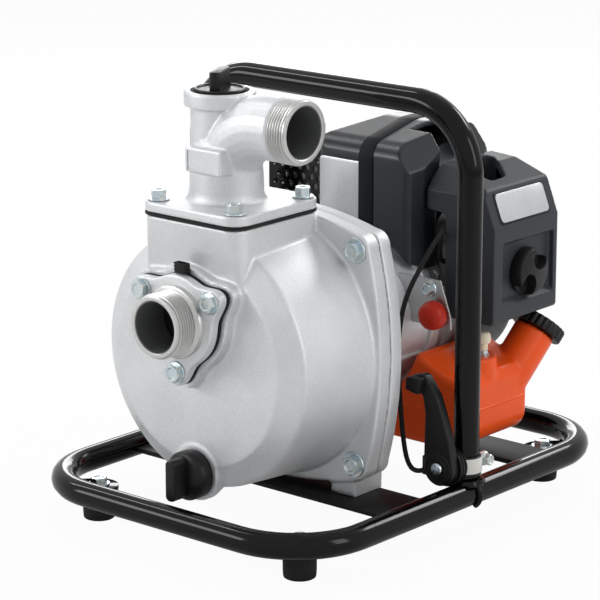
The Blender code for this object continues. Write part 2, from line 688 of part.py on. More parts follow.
def build_engine_block(cast):
    centre = (0, 0, AXIS_Z)
    block = place("engine_block", turned([
        (0, -ENGINE_FRONT), (0.0610, -ENGINE_FRONT), (0.0610, -ENGINE_FRONT - 0.008),
        (CRANKCASE_R, -ENGINE_FRONT - 0.016), (CRANKCASE_R, -CRANKCASE_BACK + 0.006),
        (0.0560, -CRANKCASE_BACK + 0.005), (0.0560, -CRANKCASE_BACK), (0, -CRANKCASE_BACK)], 20),
        cast, "front", centre)
    profile = [(0, 0.150), (0.025, 0.150), (0.025, 0.203)]
    fins = 3
    pitch = (BARREL_TOP - 0.213) / fins
    for k in range(fins):
        low = 0.203 + k * pitch + 0.004
        profile += [(0.025, low), (0.031, low + 0.0005), (0.031, low + 0.0028), (0.025, low + 0.0033)]
    profile += [(0.025, BARREL_TOP - 0.006), (0.018, BARREL_TOP), (0, BARREL_TOP)]
    barrel = place("engine_barrel", turned(profile, 10), None, "up", (0, BARREL_Y, 0))
    fuse(block, barrel)
    intake = place("engine_intake", rod(0.012, 0.015, 0.044, 8), None, "right", (0, BARREL_Y, 0.206))
    exhaust = place("engine_exhaust", rod(0.014, 0.015, 0.050, 8), None, "left", (0, BARREL_Y, 0.222))
    fuse(block, intake, exhaust)
    cut(block, place("engine_shaft_bore", rod(0.0104, -0.2, 0.0, 10), None, "front", centre))
    cut(block, place("engine_plug_hole", rod(0.0065, BARREL_TOP - 0.012, 0.28, 10), None, "up",
                     (0, BARREL_Y, 0)))
    return block


def build_flywheel(cast):
    centre = (0, 0, AXIS_Z)
    low, high = -FLYWHEEL_Y[1], -FLYWHEEL_Y[0]
    wheel = place("flywheel", turned([
        (0.0068, low), (0.016, low), (0.018, high - 0.007), (0.048, high - 0.007), (0.048, high),
        (0.0068, high)], 16), cast, "front", centre)
    for index in range(8):
        blade = prism(box_outline((0.022, 0.047), (-0.0010, 0.0010), 0.0, 1), low + 0.003, high - 0.006)
        made = place("flywheel_blade_%d" % index, blade, None, "front", centre)
        made.rotation_euler = (0, math.tau * index / 8, 0)
        fuse(wheel, made)
    return wheel


def build_starter(plastic):
    """Recoil starter cover: a cup with air slots round its back and a rope outlet."""
    centre = (0, 0, AXIS_Z)
    low = -STARTER_BACK
    high = -CRANKCASE_BACK - GAP
    wall = 0.003
    cup = turned([
        (0, low), (STARTER_R - 0.014, low), (STARTER_R - 0.004, low + 0.005), (STARTER_R, low + 0.014),
        (STARTER_R, high), (STARTER_R - wall, high), (STARTER_R - wall, low + 0.015),
        (STARTER_R - 0.015, low + wall + 0.002), (0, low + wall + 0.002)], 20)
    cover = place("starter_housing", cup, plastic, "front", centre)
    for index in range(6):
        slot = prism(box_outline((0.024, 0.044), (-0.0030, 0.0030), 0.0, 1), low - 0.005, low + 0.02)
        made = place("starter_slot_%d" % index, slot, None, "front", centre)
        made.rotation_euler = (0, math.tau * (index + 0.5) / 6, 0)
        cut(cover, made)
    outlet = place("starter_rope_outlet", turned([
        (0, 0.050), (0.013, 0.050), (0.010, 0.072), (0, 0.072)], 12), None, "left",
        (0, 0.152, AXIS_Z + 0.020))
    fuse(cover, outlet)
    cut(cover, place("starter_rope_hole", rod(0.0035, 0.04, 0.08, 8), None, "left",
                     (0, 0.152, AXIS_Z + 0.020)))
    cut(cover, place("starter_inside", rod(STARTER_R - wall, low + 0.016, high + 0.01, 20), None,
                     "front", centre))
    grip = turned([(0, 0.0723), (0.006, 0.0723), (0.008, 0.080), (0.0075, 0.096), (0.004, 0.102),
                   (0, 0.102)], 16)
    place("starter_grip", grip, plastic, "left", (0, 0.152, AXIS_Z + 0.020))
    return cover


def build_top_cover(plastic):
    """Cylinder shroud: a hollow hood arched over the crankcase, with a scoop open at the plug."""
    left, right = COVER_X
    plan = rounded([(left, COVER_FRONT), (right - 0.005, COVER_FRONT), (right, COVER_FRONT + 0.016),
                    (right, COVER_BACK), (left, COVER_BACK)], [0.012, 0.005, 0.010, 0.010, 0.012], 3)
    cover = place("top_cover", prism(plan, 0.170, COVER_TOP + 0.01), plastic)
    roof = rounded([(0.034, 0.150), (0.150, 0.150), (0.150, 0.246), (0.130, 0.263), (0.105, COVER_TOP),
                    (0.090, COVER_TOP), (0.046, 0.2755), (0.034, 0.2600)],
                   [0, 0, 0, 0.020, 0.012, 0.030, 0.010, 0], 3)
    combine(cover, place("top_cover_roof", prism(roof, -0.06, 0.08), None, "right"), "INTERSECT")
    inside = [(0.046, 0.150), (0.134, 0.150), (0.134, 0.252), (0.127, 0.2595), (0.102, COVER_TOP - 0.0045),
              (0.091, COVER_TOP - 0.0045), (0.050, 0.2715), (0.046, 0.2680)]
    cut(cover, place("top_cover_inside", prism(inside, left + 0.0035, right - 0.008), None, "right"))
    arch = rod(COVER_ARCH, -0.16, -0.03, 28)
    cut(cover, place("top_cover_arch", arch, None, "front", (0, 0, AXIS_Z)))
    scoop = prism(box_outline((0.020, 0.060), (0.072, 0.100), 0.010, 3), 0.262, 0.31)
    cut(cover, place("top_cover_scoop", scoop))
    ports_y = (BARREL_Y - 0.022, BARREL_Y + 0.022)
    exhaust = prism(box_outline(ports_y, (0.200, 0.244), 0.004, 2), left - 0.01, left + 0.008)
    intake = prism(box_outline(ports_y, (0.174, 0.226), 0.004, 2), right - 0.012, right + 0.01)
    cut(cover, place("top_cover_exhaust_side", exhaust, None, "right"))
    cut(cover, place("top_cover_intake_side", intake, None, "right"))
    return cover


def build_muffler(steel, black):
    can = box_outline((BARREL_Y - 0.026, BARREL_Y + 0.026), (0.196, 0.256), 0.008, 2)
    muffler = place("muffler", prism(can, -0.0860, -0.0512), steel, "right")
    bevel(muffler, 0.004, 2, 60)
    bent = [(-0.0510, 0.0585), (-0.0510, 0.0600), (-0.0900, 0.0600), (-0.0900, 0.1260), (-0.0915, 0.1260),
            (-0.0915, 0.0585)]
    guard = place("muffler_guard", prism(bent, 0.192, 0.262), black)
    for row in range(4):
        for column in range(2):
            x = -0.0800 + 0.0150 * column + 0.0060 * (row % 2)
            z = 0.2060 + 0.0140 * row
            cut(guard, place("muffler_guard_hole", rod(0.0045, -0.07, -0.05, 6), None, "front",
                             (x, 0, z)))
    return guard


def build_filter(plastic, knob_plastic):
    """Air filter cover: faceted shell with a wing over the carburettor and a knob in a recess."""
    right = FILTER_RIGHT
    outline = rounded([(FILTER_LEFT, 0.1460), (right, 0.1460), (right, 0.2200), (0.1070, 0.2480),
                       (0.0800, 0.2590), (WING_LEFT + 0.002, 0.2530), (WING_LEFT, 0.2400),
                       (WING_LEFT, 0.2280), (FILTER_LEFT, 0.2260)],
                      [0.006, 0.004, 0.006, 0.006, 0.010, 0.003, 0.004, 0.004, 0.003], 2)
    cover = place("air_filter_cover", prism(outline, -FILTER_BACK, -FILTER_FRONT), plastic, "front")
    bevel(cover, 0.003, 2, 60)
    slopes = [(0.050, 0.140), (0.140, 0.140), (0.140, 0.240), (0.124, 0.270), (0.0743, 0.270),
              (0.050, 0.2357)]
    combine(cover, place("filter_slopes", prism(slopes, 0.045, 0.125), None, "right"), "INTERSECT")
    inside = [(0.0600, 0.1500), (right - 0.012, 0.1500), (right - 0.012, 0.2180), (0.1010, 0.2430),
              (0.0800, 0.2530), (0.0760, 0.2520), (0.0760, 0.2220), (0.0600, 0.2220)]
    cut(cover, place("filter_inside", prism(inside, -FILTER_BACK + 0.008, -FILTER_FRONT - 0.009),
                     None, "front"))
    vent = prism(box_outline((0.080, 0.100), (0.076, 0.100), 0.008, 3), 0.240, 0.275)
    cut(cover, place("filter_vent", vent))
    recess = box_outline((KNOB_Y - 0.032, KNOB_Y + 0.032), (KNOB_Z - 0.023, KNOB_Z + 0.025), 0.008, 3)
    cut(cover, place("filter_recess", prism(recess, right - 0.005, right + 0.01), None, "right"))
    cut(cover, place("filter_stud_hole", rod(0.0040, right - 0.02, right, 12), None, "right",
                     (0, KNOB_Y, KNOB_Z)))
    at = (right - 0.005 + GAP, KNOB_Y, KNOB_Z)
    knob = place("filter_knob", turned([
        (0, -0.009), (0.0034, -0.009), (0.0034, 0), (KNOB_R, 0), (KNOB_R, 0.009), (KNOB_R - 0.0015, 0.011),
        (0, 0.011)], 18), knob_plastic, "right", at)
    for side in (-1, 1):
        cut(knob, place("knob_scallop_%+d" % side, rod(0.0085, 0.003, 0.02, 10), None, "right",
                        (at[0], at[1] + side * 0.0115, at[2])))
    return cover


def build_fuel_system(tank_plastic, cap_plastic, cast, rubber):
    saddle = arc((0, AXIS_Z), ADAPTER_RIM_R + 0.003, 200, 345, 12)
    outline = [(TANK_X[0], 0.114), (TANK_X[0], 0.060)]
    outline += arc((TANK_X[0] + 0.012, 0.062), 0.012, 180, 270, 4)[1:]
    outline += [(TANK_X[1] - 0.014, TANK_BOTTOM)]
    outline += arc((TANK_X[1] - 0.016, 0.066), 0.016, 270, 360, 4)[1:]
    outline += [(TANK_X[1], 0.118), (TANK_X[1] - 0.010, 0.126)] + saddle[::-1]
    tank = place("fuel_tank", prism(outline, -TANK_Y[1], -TANK_Y[0]), tank_plastic, "front")
    bevel(tank, 0.006, 2, 60)
    along = axes_along(NECK_AXIS)
    neck = place("tank_neck", rod(TANK_NECK_R, 0.0, NECK_LENGTH, 20), None, along, NECK_FOOT)
    platform = place("tank_platform", rod(0.0120, 0.110, 0.131, 14), None, "up", (0.088, 0.066, 0))
    fuse(tank, neck, platform)
    cut(tank, place("tank_filler", rod(0.0130, 0.030, 0.08, 16), None, along, NECK_FOOT))
    top = NECK_FOOT + NECK_AXIS * NECK_LENGTH
    radius, height = FUEL_CAP
    cap = place("fuel_cap", turned([
        (0, -0.012), (0.0122, -0.012), (0.0122, GAP), (radius, GAP), (radius, height - 0.002),
        (radius - 0.002, height), (0, height)], 16), cap_plastic, along, top)
    for index in range(8):
        groove = rod(0.0018, 0.002, height - 0.0025, 5)
        turn = math.tau * (index + 0.5) / 8
        out = radius + 0.0007
        bmesh.ops.translate(groove, vec=(out * math.cos(turn), out * math.sin(turn), 0),
                            verts=groove.verts)
        cut(cap, place("fuel_cap_groove_%d" % index, groove, None, along, top))
    block = box_outline((BARREL_Y - 0.016, BARREL_Y + 0.016), (0.1630, 0.1960), 0.004, 2)
    body = place("carburettor", prism(block, 0.0485, 0.0690), cast, "right")
    bowl = place("carburettor_bowl", rod(0.0105, 0.1440, 0.1640, 14), None, "up", (0.0600, BARREL_Y, 0))
    duct = place("carburettor_duct", rod(0.0110, 0.0443, 0.060, 12), None, "right", (0, BARREL_Y, 0.200))
    fuse(body, bowl, duct)
    socket = place("carburettor_bulb_socket", rod(0.0085, 0.1400, 0.1490, 12), None, "up",
                   (0.0600, BARREL_Y, 0))
    cut(body, socket)
    bulb = turned([(0, 0), (0.0080, 0), (0.0080, 0.002), (0.0072, 0.005), (0.0045, 0.0075),
                   (0, 0.0085)], 14)
    place("primer_bulb", bulb, rubber, "down", (0.0600, BARREL_Y, 0.1437))
    return tank


def build_stop_switch(sheet, red):
    """Engine stop button on a sheet bracket that stands on the adapter."""
    plane = -BRACKET_FRONT
    outline = [(0.0950, 0.1440), (0.0945, 0.1540), (0.0810, 0.1895), (0.0480, 0.1895)]
    outline += arc((0, AXIS_Z), ADAPTER_R + GAP, 42, 4, 6)
    bracket = place("stop_bracket", prism(outline, plane - 0.0016, plane), sheet, "front")
    cut(bracket, place("stop_hole", rod(0.0052, plane - 0.01, plane + 0.01, 16), None, "front",
                       (BUTTON_X, 0, BUTTON_Z)))
    button = turned([(0, -0.012), (0.0048, -0.012), (0.0048, 0.0035), (BUTTON_R - 0.0008, 0.0035),
                     (BUTTON_R, 0.0065), (BUTTON_R - 0.0016, 0.0115), (0.0050, 0.0142), (0, 0.0150)], 16)
    place("stop_button", button, red, "front", (BUTTON_X, -plane, BUTTON_Z))
    return bracket


def build_throttle(plastic, steel):
    """Thumb throttle on the hoop leg: clamp bracket, hooked lever and its pivot screw."""
    leg = (HOOP_X, HOOP_Y, 0)
    clamp = rod(TUBE_R + 0.0027, 0.0470, 0.0620, 16)
    bracket = place("throttle_bracket", clamp, plastic, "up", leg)
    body = place("throttle_body", rod(PIVOT_R, 0.0040, -PIVOT.y - GAP, 16), None, "front",
                 (PIVOT.x, 0, PIVOT.z))
    fuse(bracket, body)
    cut(bracket, place("throttle_leg_clear", rod(TUBE_R + GAP, 0.03, 0.08, 16), None, "up", leg))
    cut(bracket, place("throttle_pivot_hole", rod(0.0028, 0.003, 0.03, 10), None, "front",
                       (PIVOT.x, 0, PIVOT.z)))
    outline = arc((0, 0), PIVOT_R - 0.001, 180, 375, 10) + LEVER_EDGE
    at = (PIVOT.x, PIVOT.y, PIVOT.z)
    lever = place("throttle_lever", prism(outline, 0.0, LEVER_THICK), plastic, "front", at)
    thumb = rounded([(-0.0268, 0.0572), (-0.0150, 0.0548), (-0.0125, 0.0680), (-0.0262, 0.0668)], 0.001, 1)
    fuse(lever, place("lever_thumb_pad", prism(thumb, -0.0020, LEVER_THICK + 0.006), None, "front", at))
    cut(lever, place("lever_pivot_hole", rod(0.0028, -0.01, 0.03, 10), None, "front", at))
    place("lever_screw", turned([
        (0, -0.0110), (0.0024, -0.0110), (0.0024, GAP), (0.0050, GAP), (0.0050, 0.0020), (0.0035, 0.0032),
        (0, 0.0034)], 14), steel, "front", (PIVOT.x, PIVOT.y - LEVER_THICK, PIVOT.z))
    return bracket


def smooth_route(points, count):
    """Even points along a smooth curve through a route's own points."""
    knots = [Vector(p) for p in points]
    ends = [knots[0] * 2 - knots[1]] + knots + [knots[-1] * 2 - knots[-2]]
    route = []
    spans = len(knots) - 1
    for k in range(count):
        place_on = spans * k / (count - 1)
        i = min(int(place_on), spans - 1)
        t = place_on - i
        a, b, c, d = ends[i:i + 4]
        route.append(0.5 * (2 * b + (c - a) * t + (2 * a - 5 * b + 4 * c - d) * t * t
                            + (3 * b - a - 3 * c + d) * t ** 3))
    return route


def build_throttle_cable(rubber):
    spline_data = bpy.data.curves.new("throttle_cable", "CURVE")
    spline_data.dimensions = "3D"
    spline_data.bevel_depth = CABLE_R
    spline_data.bevel_resolution = 1
    spline_data.use_fill_caps = True
    route = smooth_route(CABLE_ROUTE, 26)
    spline = spline_data.splines.new("POLY")
    spline.points.add(len(route) - 1)
    for point, place_at in zip(spline.points, route):
        point.co = (*place_at, 1.0)
    spline_data.materials.append(rubber)
    cable = bpy.data.objects.new("throttle_cable", spline_data)
    bpy.context.collection.objects.link(cable)
    return cable


def build_spark_plug(ceramic):
    seat = BARREL_TOP + 0.0004
    profile = [(0, seat - 0.0090), (0.0058, seat - 0.0090), (0.0058, seat), (0.0085, seat + 0.0002),
               (0.0085, seat + 0.0066), (0.0050, seat + 0.0076), (0.0040, seat + 0.0236), (0, seat + 0.0236)]
    return place("spark_plug", turned(profile, 12), ceramic, "up", (0, BARREL_Y, 0))


def main():
    clear_scene()
    paint = finish("gloss_black_paint", (0.010, 0.010, 0.011), 0.16, 0.0)
    cast = finish("sand_cast_aluminium", (0.56, 0.57, 0.58), 0.42, 0.85)
    zinc = finish("zinc_plated_steel", (0.62, 0.66, 0.68), 0.28, 1.0)
    steel = finish("machined_steel", (0.50, 0.50, 0.50), 0.30, 1.0)
    sheet = finish("plain_sheet_steel", (0.55, 0.56, 0.57), 0.35, 1.0)
    rubber = finish("black_rubber", (0.014, 0.014, 0.015), 0.75, 0.0)
    black = finish("black_plastic", (0.016, 0.016, 0.018), 0.40, 0.0)
    charcoal = finish("charcoal_plastic", (0.030, 0.035, 0.043), 0.45, 0.0)
    grey = finish("grey_plastic", (0.075, 0.085, 0.100), 0.50, 0.0)
    orange = finish("orange_tank_plastic", (0.87, 0.10, 0.012), 0.33, 0.0)
    red = finish("red_button_plastic", (0.45, 0.012, 0.008), 0.40, 0.0)
    cream = finish("clear_primer_rubber", (0.70, 0.62, 0.48), 0.40, 0.0)
    ceramic = finish("white_ceramic", (0.80, 0.79, 0.76), 0.30, 0.0)

    build_base_frame(paint)
    build_carry_hoop(paint)
    build_cross_plate("front_cross_plate", FRONT_PLATE_Y, 0.069, -0.047, paint)
    build_cross_plate("rear_cross_plate", REAR_PLATE_Y, 0.060, 0.106, paint)
    build_feet(rubber, zinc)
    build_pump_casing(cast)
    build_suction(cast, rubber, zinc)
    build_discharge(cast, rubber, zinc)
    build_caps(black, rubber)
    build_pump_back(cast, rubber, zinc)
    build_hydraulics(cast, steel, steel)
    build_adapter(cast)
    build_engine_block(cast)
    build_flywheel(cast)
    build_starter(black)
    build_top_cover(charcoal)
    build_muffler(steel, black)
    build_filter(grey, black)
    build_fuel_system(orange, black, cast, cream)
    build_stop_switch(sheet, red)
    build_throttle(black, zinc)
    build_throttle_cable(rubber)
    build_spark_plug(ceramic)


main()
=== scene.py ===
"""Looks of the portable engine-driven pump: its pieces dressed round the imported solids."""
import json
import math

import bpy
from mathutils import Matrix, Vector

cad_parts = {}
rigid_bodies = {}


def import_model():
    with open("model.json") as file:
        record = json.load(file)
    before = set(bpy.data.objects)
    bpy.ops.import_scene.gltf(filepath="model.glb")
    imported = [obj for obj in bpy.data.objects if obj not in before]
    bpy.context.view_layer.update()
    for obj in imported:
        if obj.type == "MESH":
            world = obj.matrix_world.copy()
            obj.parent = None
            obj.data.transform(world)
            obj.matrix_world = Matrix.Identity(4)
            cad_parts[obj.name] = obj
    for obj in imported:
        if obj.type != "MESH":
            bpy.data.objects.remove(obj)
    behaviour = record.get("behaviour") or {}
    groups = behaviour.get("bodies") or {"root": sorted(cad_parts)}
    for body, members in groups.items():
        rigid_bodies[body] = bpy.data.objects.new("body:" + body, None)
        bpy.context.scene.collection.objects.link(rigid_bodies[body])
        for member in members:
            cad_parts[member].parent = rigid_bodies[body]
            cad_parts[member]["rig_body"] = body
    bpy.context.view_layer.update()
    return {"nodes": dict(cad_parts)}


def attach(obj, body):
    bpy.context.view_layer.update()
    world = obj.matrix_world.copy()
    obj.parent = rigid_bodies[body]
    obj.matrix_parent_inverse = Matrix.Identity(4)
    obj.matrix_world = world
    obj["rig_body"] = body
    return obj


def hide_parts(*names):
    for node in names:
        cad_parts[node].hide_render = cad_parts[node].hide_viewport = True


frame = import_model()

X, Y, Z = Vector((1, 0, 0)), Vector((0, 1, 0)), Vector((0, 0, 1))

# Sizes and places that several pieces share, in metres
GAP = 0.0003
AXIS_Z = 0.1405
TUBE_R = 0.00975
RAIL_X, RAIL_Z = 0.136, 0.0323
HOOP_Y = 0.0044
HOOP_LEFT, HOOP_RIGHT = 0.1292, 0.133
FOOT_X, FOOT_Y = 0.1, 0.147
TAB_Z, TAB_THICK = 0.0222, 0.004
CORNERS = [(a, b) for a in (-1, 1) for b in (-1, 1)]
FEET = [(a * FOOT_X, b * FOOT_Y) for b in (-1, 1) for a in (-1, 1)]
FLANGE_BOLT = 0.081
SUCTION_Z = 0.1758
SUCTION_BOLT = 0.038
SUCTION_LOBES = (30, 150, 270)
ELBOW_Y = -0.1067
ELBOW_BOLT = 0.037
NECK_X = -0.01
OUTLET_Z = 0.3131
DRAIN_Z = 0.057
BARREL_Y = 0.092
BORE_R = 0.01925
THREAD_CREST, THREAD_ROOT = 0.024, 0.0216
ROPE_OUTLET = (0, 0.152, 0.1605)
KNOB_AT = Vector((0.1133, 0.099, 0.1815))
STOP_BUTTON = Vector((0.0836, 0.033, 0.1552))
LEVER_PIVOT = Vector((0.1255, -0.0123, 0.055))
NECK_FOOT = Vector((0.0905, 0.1005, 0.08))
NECK_AXIS = Vector((0.15, 0.62, 0.77)).normalized()
NECK_LENGTH = 0.056
NIPPLES = ((0.09, 0.064, 0.1158), (0.097, 0.072, 0.1158))
LEVER_EDGE = [(0.0095, 0.023), (0.0035, 0.04), (-0.0025, 0.0555), (-0.014, 0.07),
              (-0.026, 0.0665), (-0.0265, 0.0575), (-0.015, 0.0535), (-0.0125, 0.04)]
CABLE_ROUTE = [(0.1103, -0.0085, 0.052), (0.1, -0.008, 0.045), (0.084, 0.0, 0.043),
               (0.074, 0.005, 0.056), (0.07, 0.004, 0.095), (0.069, 0.003, 0.135),
               (0.072, 0.008, 0.17), (0.079, 0.025, 0.202), (0.08, 0.042, 0.217),
               (0.069, 0.053, 0.206), (0.0625, 0.062, 0.188), (0.062, 0.0755, 0.185)]


# Modelling by hand: every piece starts as a primitive and is shaped with operators

def fresh():
    """Leave edit mode and let go of everything."""
    if bpy.context.object and bpy.context.object.mode == "EDIT":
        bpy.ops.object.mode_set(mode="OBJECT")
    bpy.ops.object.select_all(action="DESELECT")


def hold(piece, *others):
    """Select these pieces and make the first one active."""
    fresh()
    for each in (piece, *others):
        each.select_set(True)
    bpy.context.view_layer.objects.active = piece
    return piece


def settle():
    """Close seams, turn faces outwards and leave edit mode."""
    bpy.ops.mesh.select_all(action="SELECT")
    bpy.ops.mesh.remove_doubles(threshold=1e-6)
    bpy.ops.mesh.normals_make_consistent(inside=False)
    bpy.ops.object.mode_set(mode="OBJECT")
    return bpy.context.object


def pull_line(points):
    """Pull one vertex through a line of points, and stay in edit mode."""
    fresh()
    bpy.ops.mesh.primitive_plane_add(size=0.002)
    bpy.ops.object.mode_set(mode="EDIT")
    bpy.ops.mesh.merge(type="CENTER")
    bpy.ops.transform.translate(value=points[0])
    for here, there in zip(points, points[1:]):
        step = Vector(there) - Vector(here)
        bpy.ops.mesh.extrude_region_move(TRANSFORM_OT_translate={"value": step})
    bpy.ops.mesh.select_all(action="SELECT")
    return bpy.context.object


def slab(outline, lift):
    """A closed outline of points filled and raised along a vector."""
    pull_line(outline)
    bpy.ops.mesh.edge_face_add()
    bpy.ops.mesh.extrude_region_move(TRANSFORM_OT_translate={"value": lift})
    return settle()


def across(axis):
    """A direction at right angles to an axis."""
    side = Z if abs(axis.z) < 0.9 else X
    return (side - axis * side.dot(axis)).normalized()


def turned(profile, centre, axis=Z, steps=64):
    """A profile of (radius, height) spun round an axis."""
    centre, axis = Vector(centre), Vector(axis).normalized()
    side = across(axis)
    pull_line([centre + side * r + axis * h for r, h in profile])
    bpy.ops.mesh.spin(steps=steps, angle=math.tau, center=centre, axis=axis)
    return settle()


def bar(radius, low, high, centre, axis, steps=64):
    """Plain round bar, used to cut bores."""
    return turned([(0, low), (radius, low), (radius, high), (0, high)], centre, axis, steps)


def tube(points, radius, closed=False, rounds=5):
    """A round bar along a line of points."""
    pull_line(points)
    if closed:
        bpy.ops.mesh.select_all(action="DESELECT")
        bpy.ops.object.mode_set(mode="OBJECT")
        made = bpy.context.object.data
        made.vertices[0].select = True
        made.vertices[len(points) - 1].select = True
        bpy.ops.object.mode_set(mode="EDIT")
        bpy.ops.mesh.edge_face_add()
    bpy.ops.object.mode_set(mode="OBJECT")
    bpy.ops.object.convert(target="CURVE")
    curve = bpy.context.object.data
    curve.bevel_depth = radius
    curve.bevel_resolution = rounds
    curve.use_fill_caps = True
    bpy.ops.object.convert(target="MESH")
    bpy.ops.object.mode_set(mode="EDIT")
    return settle()


def block(low, high):
    """A box between two corners."""
    low, high = Vector(low), Vector(high)
    fresh()
    bpy.ops.mesh.primitive_cube_add(size=1, location=(low + high) / 2, scale=high - low)
    bpy.ops.object.transform_apply(location=True, rotation=True, scale=True)
    return bpy.context.object


def hexagon(radius, centre, axis, height):
    """Six-sided bar."""
    centre, axis = Vector(centre), Vector(axis).normalized()
    side = across(axis)
    other = axis.cross(side)
    turns = [math.tau * k / 6 for k in range(6)]
    return slab([centre + (side * math.cos(t) + other * math.sin(t)) * radius for t in turns], axis * height)


def apply(piece, kind, **settings):
    """Add a modifier with these settings and apply it."""
    hold(piece)
    step = piece.modifiers.new("step", kind)
    for name, value in settings.items():
        setattr(step, name, value)
    bpy.ops.object.modifier_apply(modifier="step")
    return piece


def soften(piece, width, segments=3, angle=30):
    """Round the edges that turn more than an angle."""
    return apply(piece, "BEVEL", width=width, segments=segments, limit_method="ANGLE",
                 angle_limit=math.radians(angle), harden_normals=False)


def with_tool(piece, tools, operation, solver="EXACT"):
    for tool in tools:
        apply(piece, "BOOLEAN", operation=operation, object=tool, solver=solver)
        bpy.data.objects.remove(tool, do_unlink=True)
    return piece


def weld(piece, *tools):
    return with_tool(piece, tools, "UNION")


def cut(piece, *tools):
    return with_tool(piece, tools, "DIFFERENCE")


def cut_dense(piece, *tools):
    """Cut a fine-meshed casting, with the quicker solver."""
    return with_tool(piece, tools, "DIFFERENCE", "MANIFOLD")


def as_casting(pieces, grain, rounds):
    """Melt overlapping pieces into one skin and round all its edges and inner corners."""
    hold(*pieces)
    if len(pieces) > 1:
        bpy.ops.object.join()
    piece = bpy.context.object
    apply(piece, "REMESH", mode="VOXEL", voxel_size=grain)
    return apply(piece, "SMOOTH", factor=0.5, iterations=rounds)


def together(*pieces):
    """Join separate shells into one piece."""
    hold(*pieces)
    bpy.ops.object.join()
    return bpy.context.object


def dress(piece, name, finish, nodes=(), angle=35, slot=None):
    """Name a finished piece, give it its finish and let it ride on the body of the solid it stands for."""
    nodes = [nodes] if isinstance(nodes, str) else list(nodes)
    slot = slot or nodes[0]
    hold(piece)
    piece.name = name
    piece.data.name = name
    bpy.ops.object.shade_smooth_by_angle(angle=math.radians(angle))
    piece.data.materials.clear()
    piece.data.materials.append(finish)
    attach(piece, frame["nodes"][slot]["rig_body"])
    if nodes:
        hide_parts(*nodes)
    return piece


# Outlines

def arc(centre, radius, start, end, steps):
    turns = [math.radians(start + (end - start) * k / steps) for k in range(steps + 1)]
    return [(centre[0] + radius * math.cos(t), centre[1] + radius * math.sin(t)) for t in turns]


def rounded(corners, radius, steps=6):
    """Corner points with each corner rounded; radius is one value or one for each corner."""
    radii = radius if isinstance(radius, (list, tuple)) else [radius] * len(corners)
    outline = []
    for k, corner in enumerate(corners):
        here = Vector(corner)
        before = (Vector(corners[k - 1]) - here).normalized()
        after = (Vector(corners[(k + 1) % len(corners)]) - here).normalized()
        if radii[k] <= 0:
            outline.append(tuple(here))
            continue
        half = before.angle(after) / 2
        middle = here + (before + after).normalized() * radii[k] / math.sin(half)
        first = here + before * radii[k] / math.tan(half) - middle
        last = here + after * radii[k] / math.tan(half) - middle
        for n in range(steps + 1):
            spoke = first.lerp(last, n / steps).normalized() * radii[k]
            outline.append(tuple(middle + spoke))
    return outline


def rounded_rectangle(x, y, radius, steps=6):
    return rounded([(x[0], y[0]), (x[1], y[0]), (x[1], y[1]), (x[0], y[1])], radius, steps)


def facing_front(outline, y, z=0.0):
    """Outline points (x, z) on a plane that faces the suction side."""
    return [(a, y, z + b) for a, b in outline]


def facing_right(outline, x):
    """Outline points (y, z) on a plane that faces the discharge side."""
    return [(x, a, b) for a, b in outline]


def facing_up(outline, z):
    return [(a, b, z) for a, b in outline]


def smooth_route(points, count):
    """Even points along a smooth curve through a route's own points."""
    knots = [Vector(p) for p in points]
    ends = [knots[0] * 2 - knots[1]] + knots + [knots[-1] * 2 - knots[-2]]
    route = []
    spans = len(knots) - 1
    for k in range(count):
        place_on = spans * k / (count - 1)
        i = min(int(place_on), spans - 1)
        t = place_on - i
        a, b, c, d = ends[i:i + 4]
        route.append(0.5 * (2 * b + (c - a) * t + (2 * a - 5 * b + 4 * c - d) * t * t
                            + (3 * b - a - 3 * c + d) * t ** 3))
    return route


# Finishes

class Wire:
    """A shader socket that can be used in sums."""

    def __init__(self, finish, socket):
        self.finish = finish
        self.socket = socket

    def sum(self, operation, first, second):
        return self.finish.node("ShaderNodeMath", {"operation": operation}, {0: first, 1: second})

    def __add__(self, other):
        return self.sum("ADD", self, other)

    __radd__ = __add__

    def __mul__(self, other):
        return self.sum("MULTIPLY", self, other)

    __rmul__ = __mul__


class Finish:
    """A surface built from nodes round one Principled shader."""

    def __init__(self, name, colour, roughness, metallic=0.0, **constants):
        self.material = bpy.data.materials.new(name)
        self.material.use_nodes = True
        self.tree = self.material.node_tree
        self.shader = self.tree.nodes["Principled BSDF"]
        self.feed(base_color=(*colour, 1.0), roughness=roughness, metallic=metallic, **constants)
        self.place = self.node("ShaderNodeTexCoord", out="Object")

    def node(self, kind, settings=None, inputs=None, out=0):
        """Any node: its settings first, then the values or links of its sockets."""
        made = self.tree.nodes.new(kind)
        for name, value in (settings or {}).items():
            if name == "stops":
                for stop, (at, shade) in zip(made.color_ramp.elements, value):
                    stop.position = at
                    stop.color = (shade, shade, shade, 1.0)
            else:
                setattr(made, name, value)
        for name, value in (inputs or {}).items():
            self.join(made.inputs[name], value)
        return Wire(self, made.outputs[out])

    def join(self, socket, value):
        if isinstance(value, Wire):
            self.tree.links.new(value.socket, socket)
        else:
            socket.default_value = value

    def feed(self, **sockets):
        for name, value in sockets.items():
            self.join(self.shader.inputs[name.replace("_", " ").title().replace("Ior", "IOR")], value)
        return self

    def noise(self, scale, detail=3.0, roughness=0.5):
        return self.node("ShaderNodeTexNoise", {}, {
            "Vector": self.place, "Scale": scale, "Detail": detail, "Roughness": roughness})

    def ramp(self, value, *stops):
        """Two stops of grey, each as (position, shade)."""
        return self.node("ShaderNodeValToRGB", {"stops": stops}, {"Fac": value})

    def tint(self, mask, one, two):
        """Mix two colours by a mask."""
        colours = {"Factor": mask, 6: (*one, 1.0), 7: (*two, 1.0)}
        return self.node("ShaderNodeMix", {"data_type": "RGBA"}, colours, 2)

    def bump(self, height, strength, distance):
        return self.feed(normal=self.node("ShaderNodeBump", {}, {
            "Height": height, "Strength": strength, "Distance": distance}))


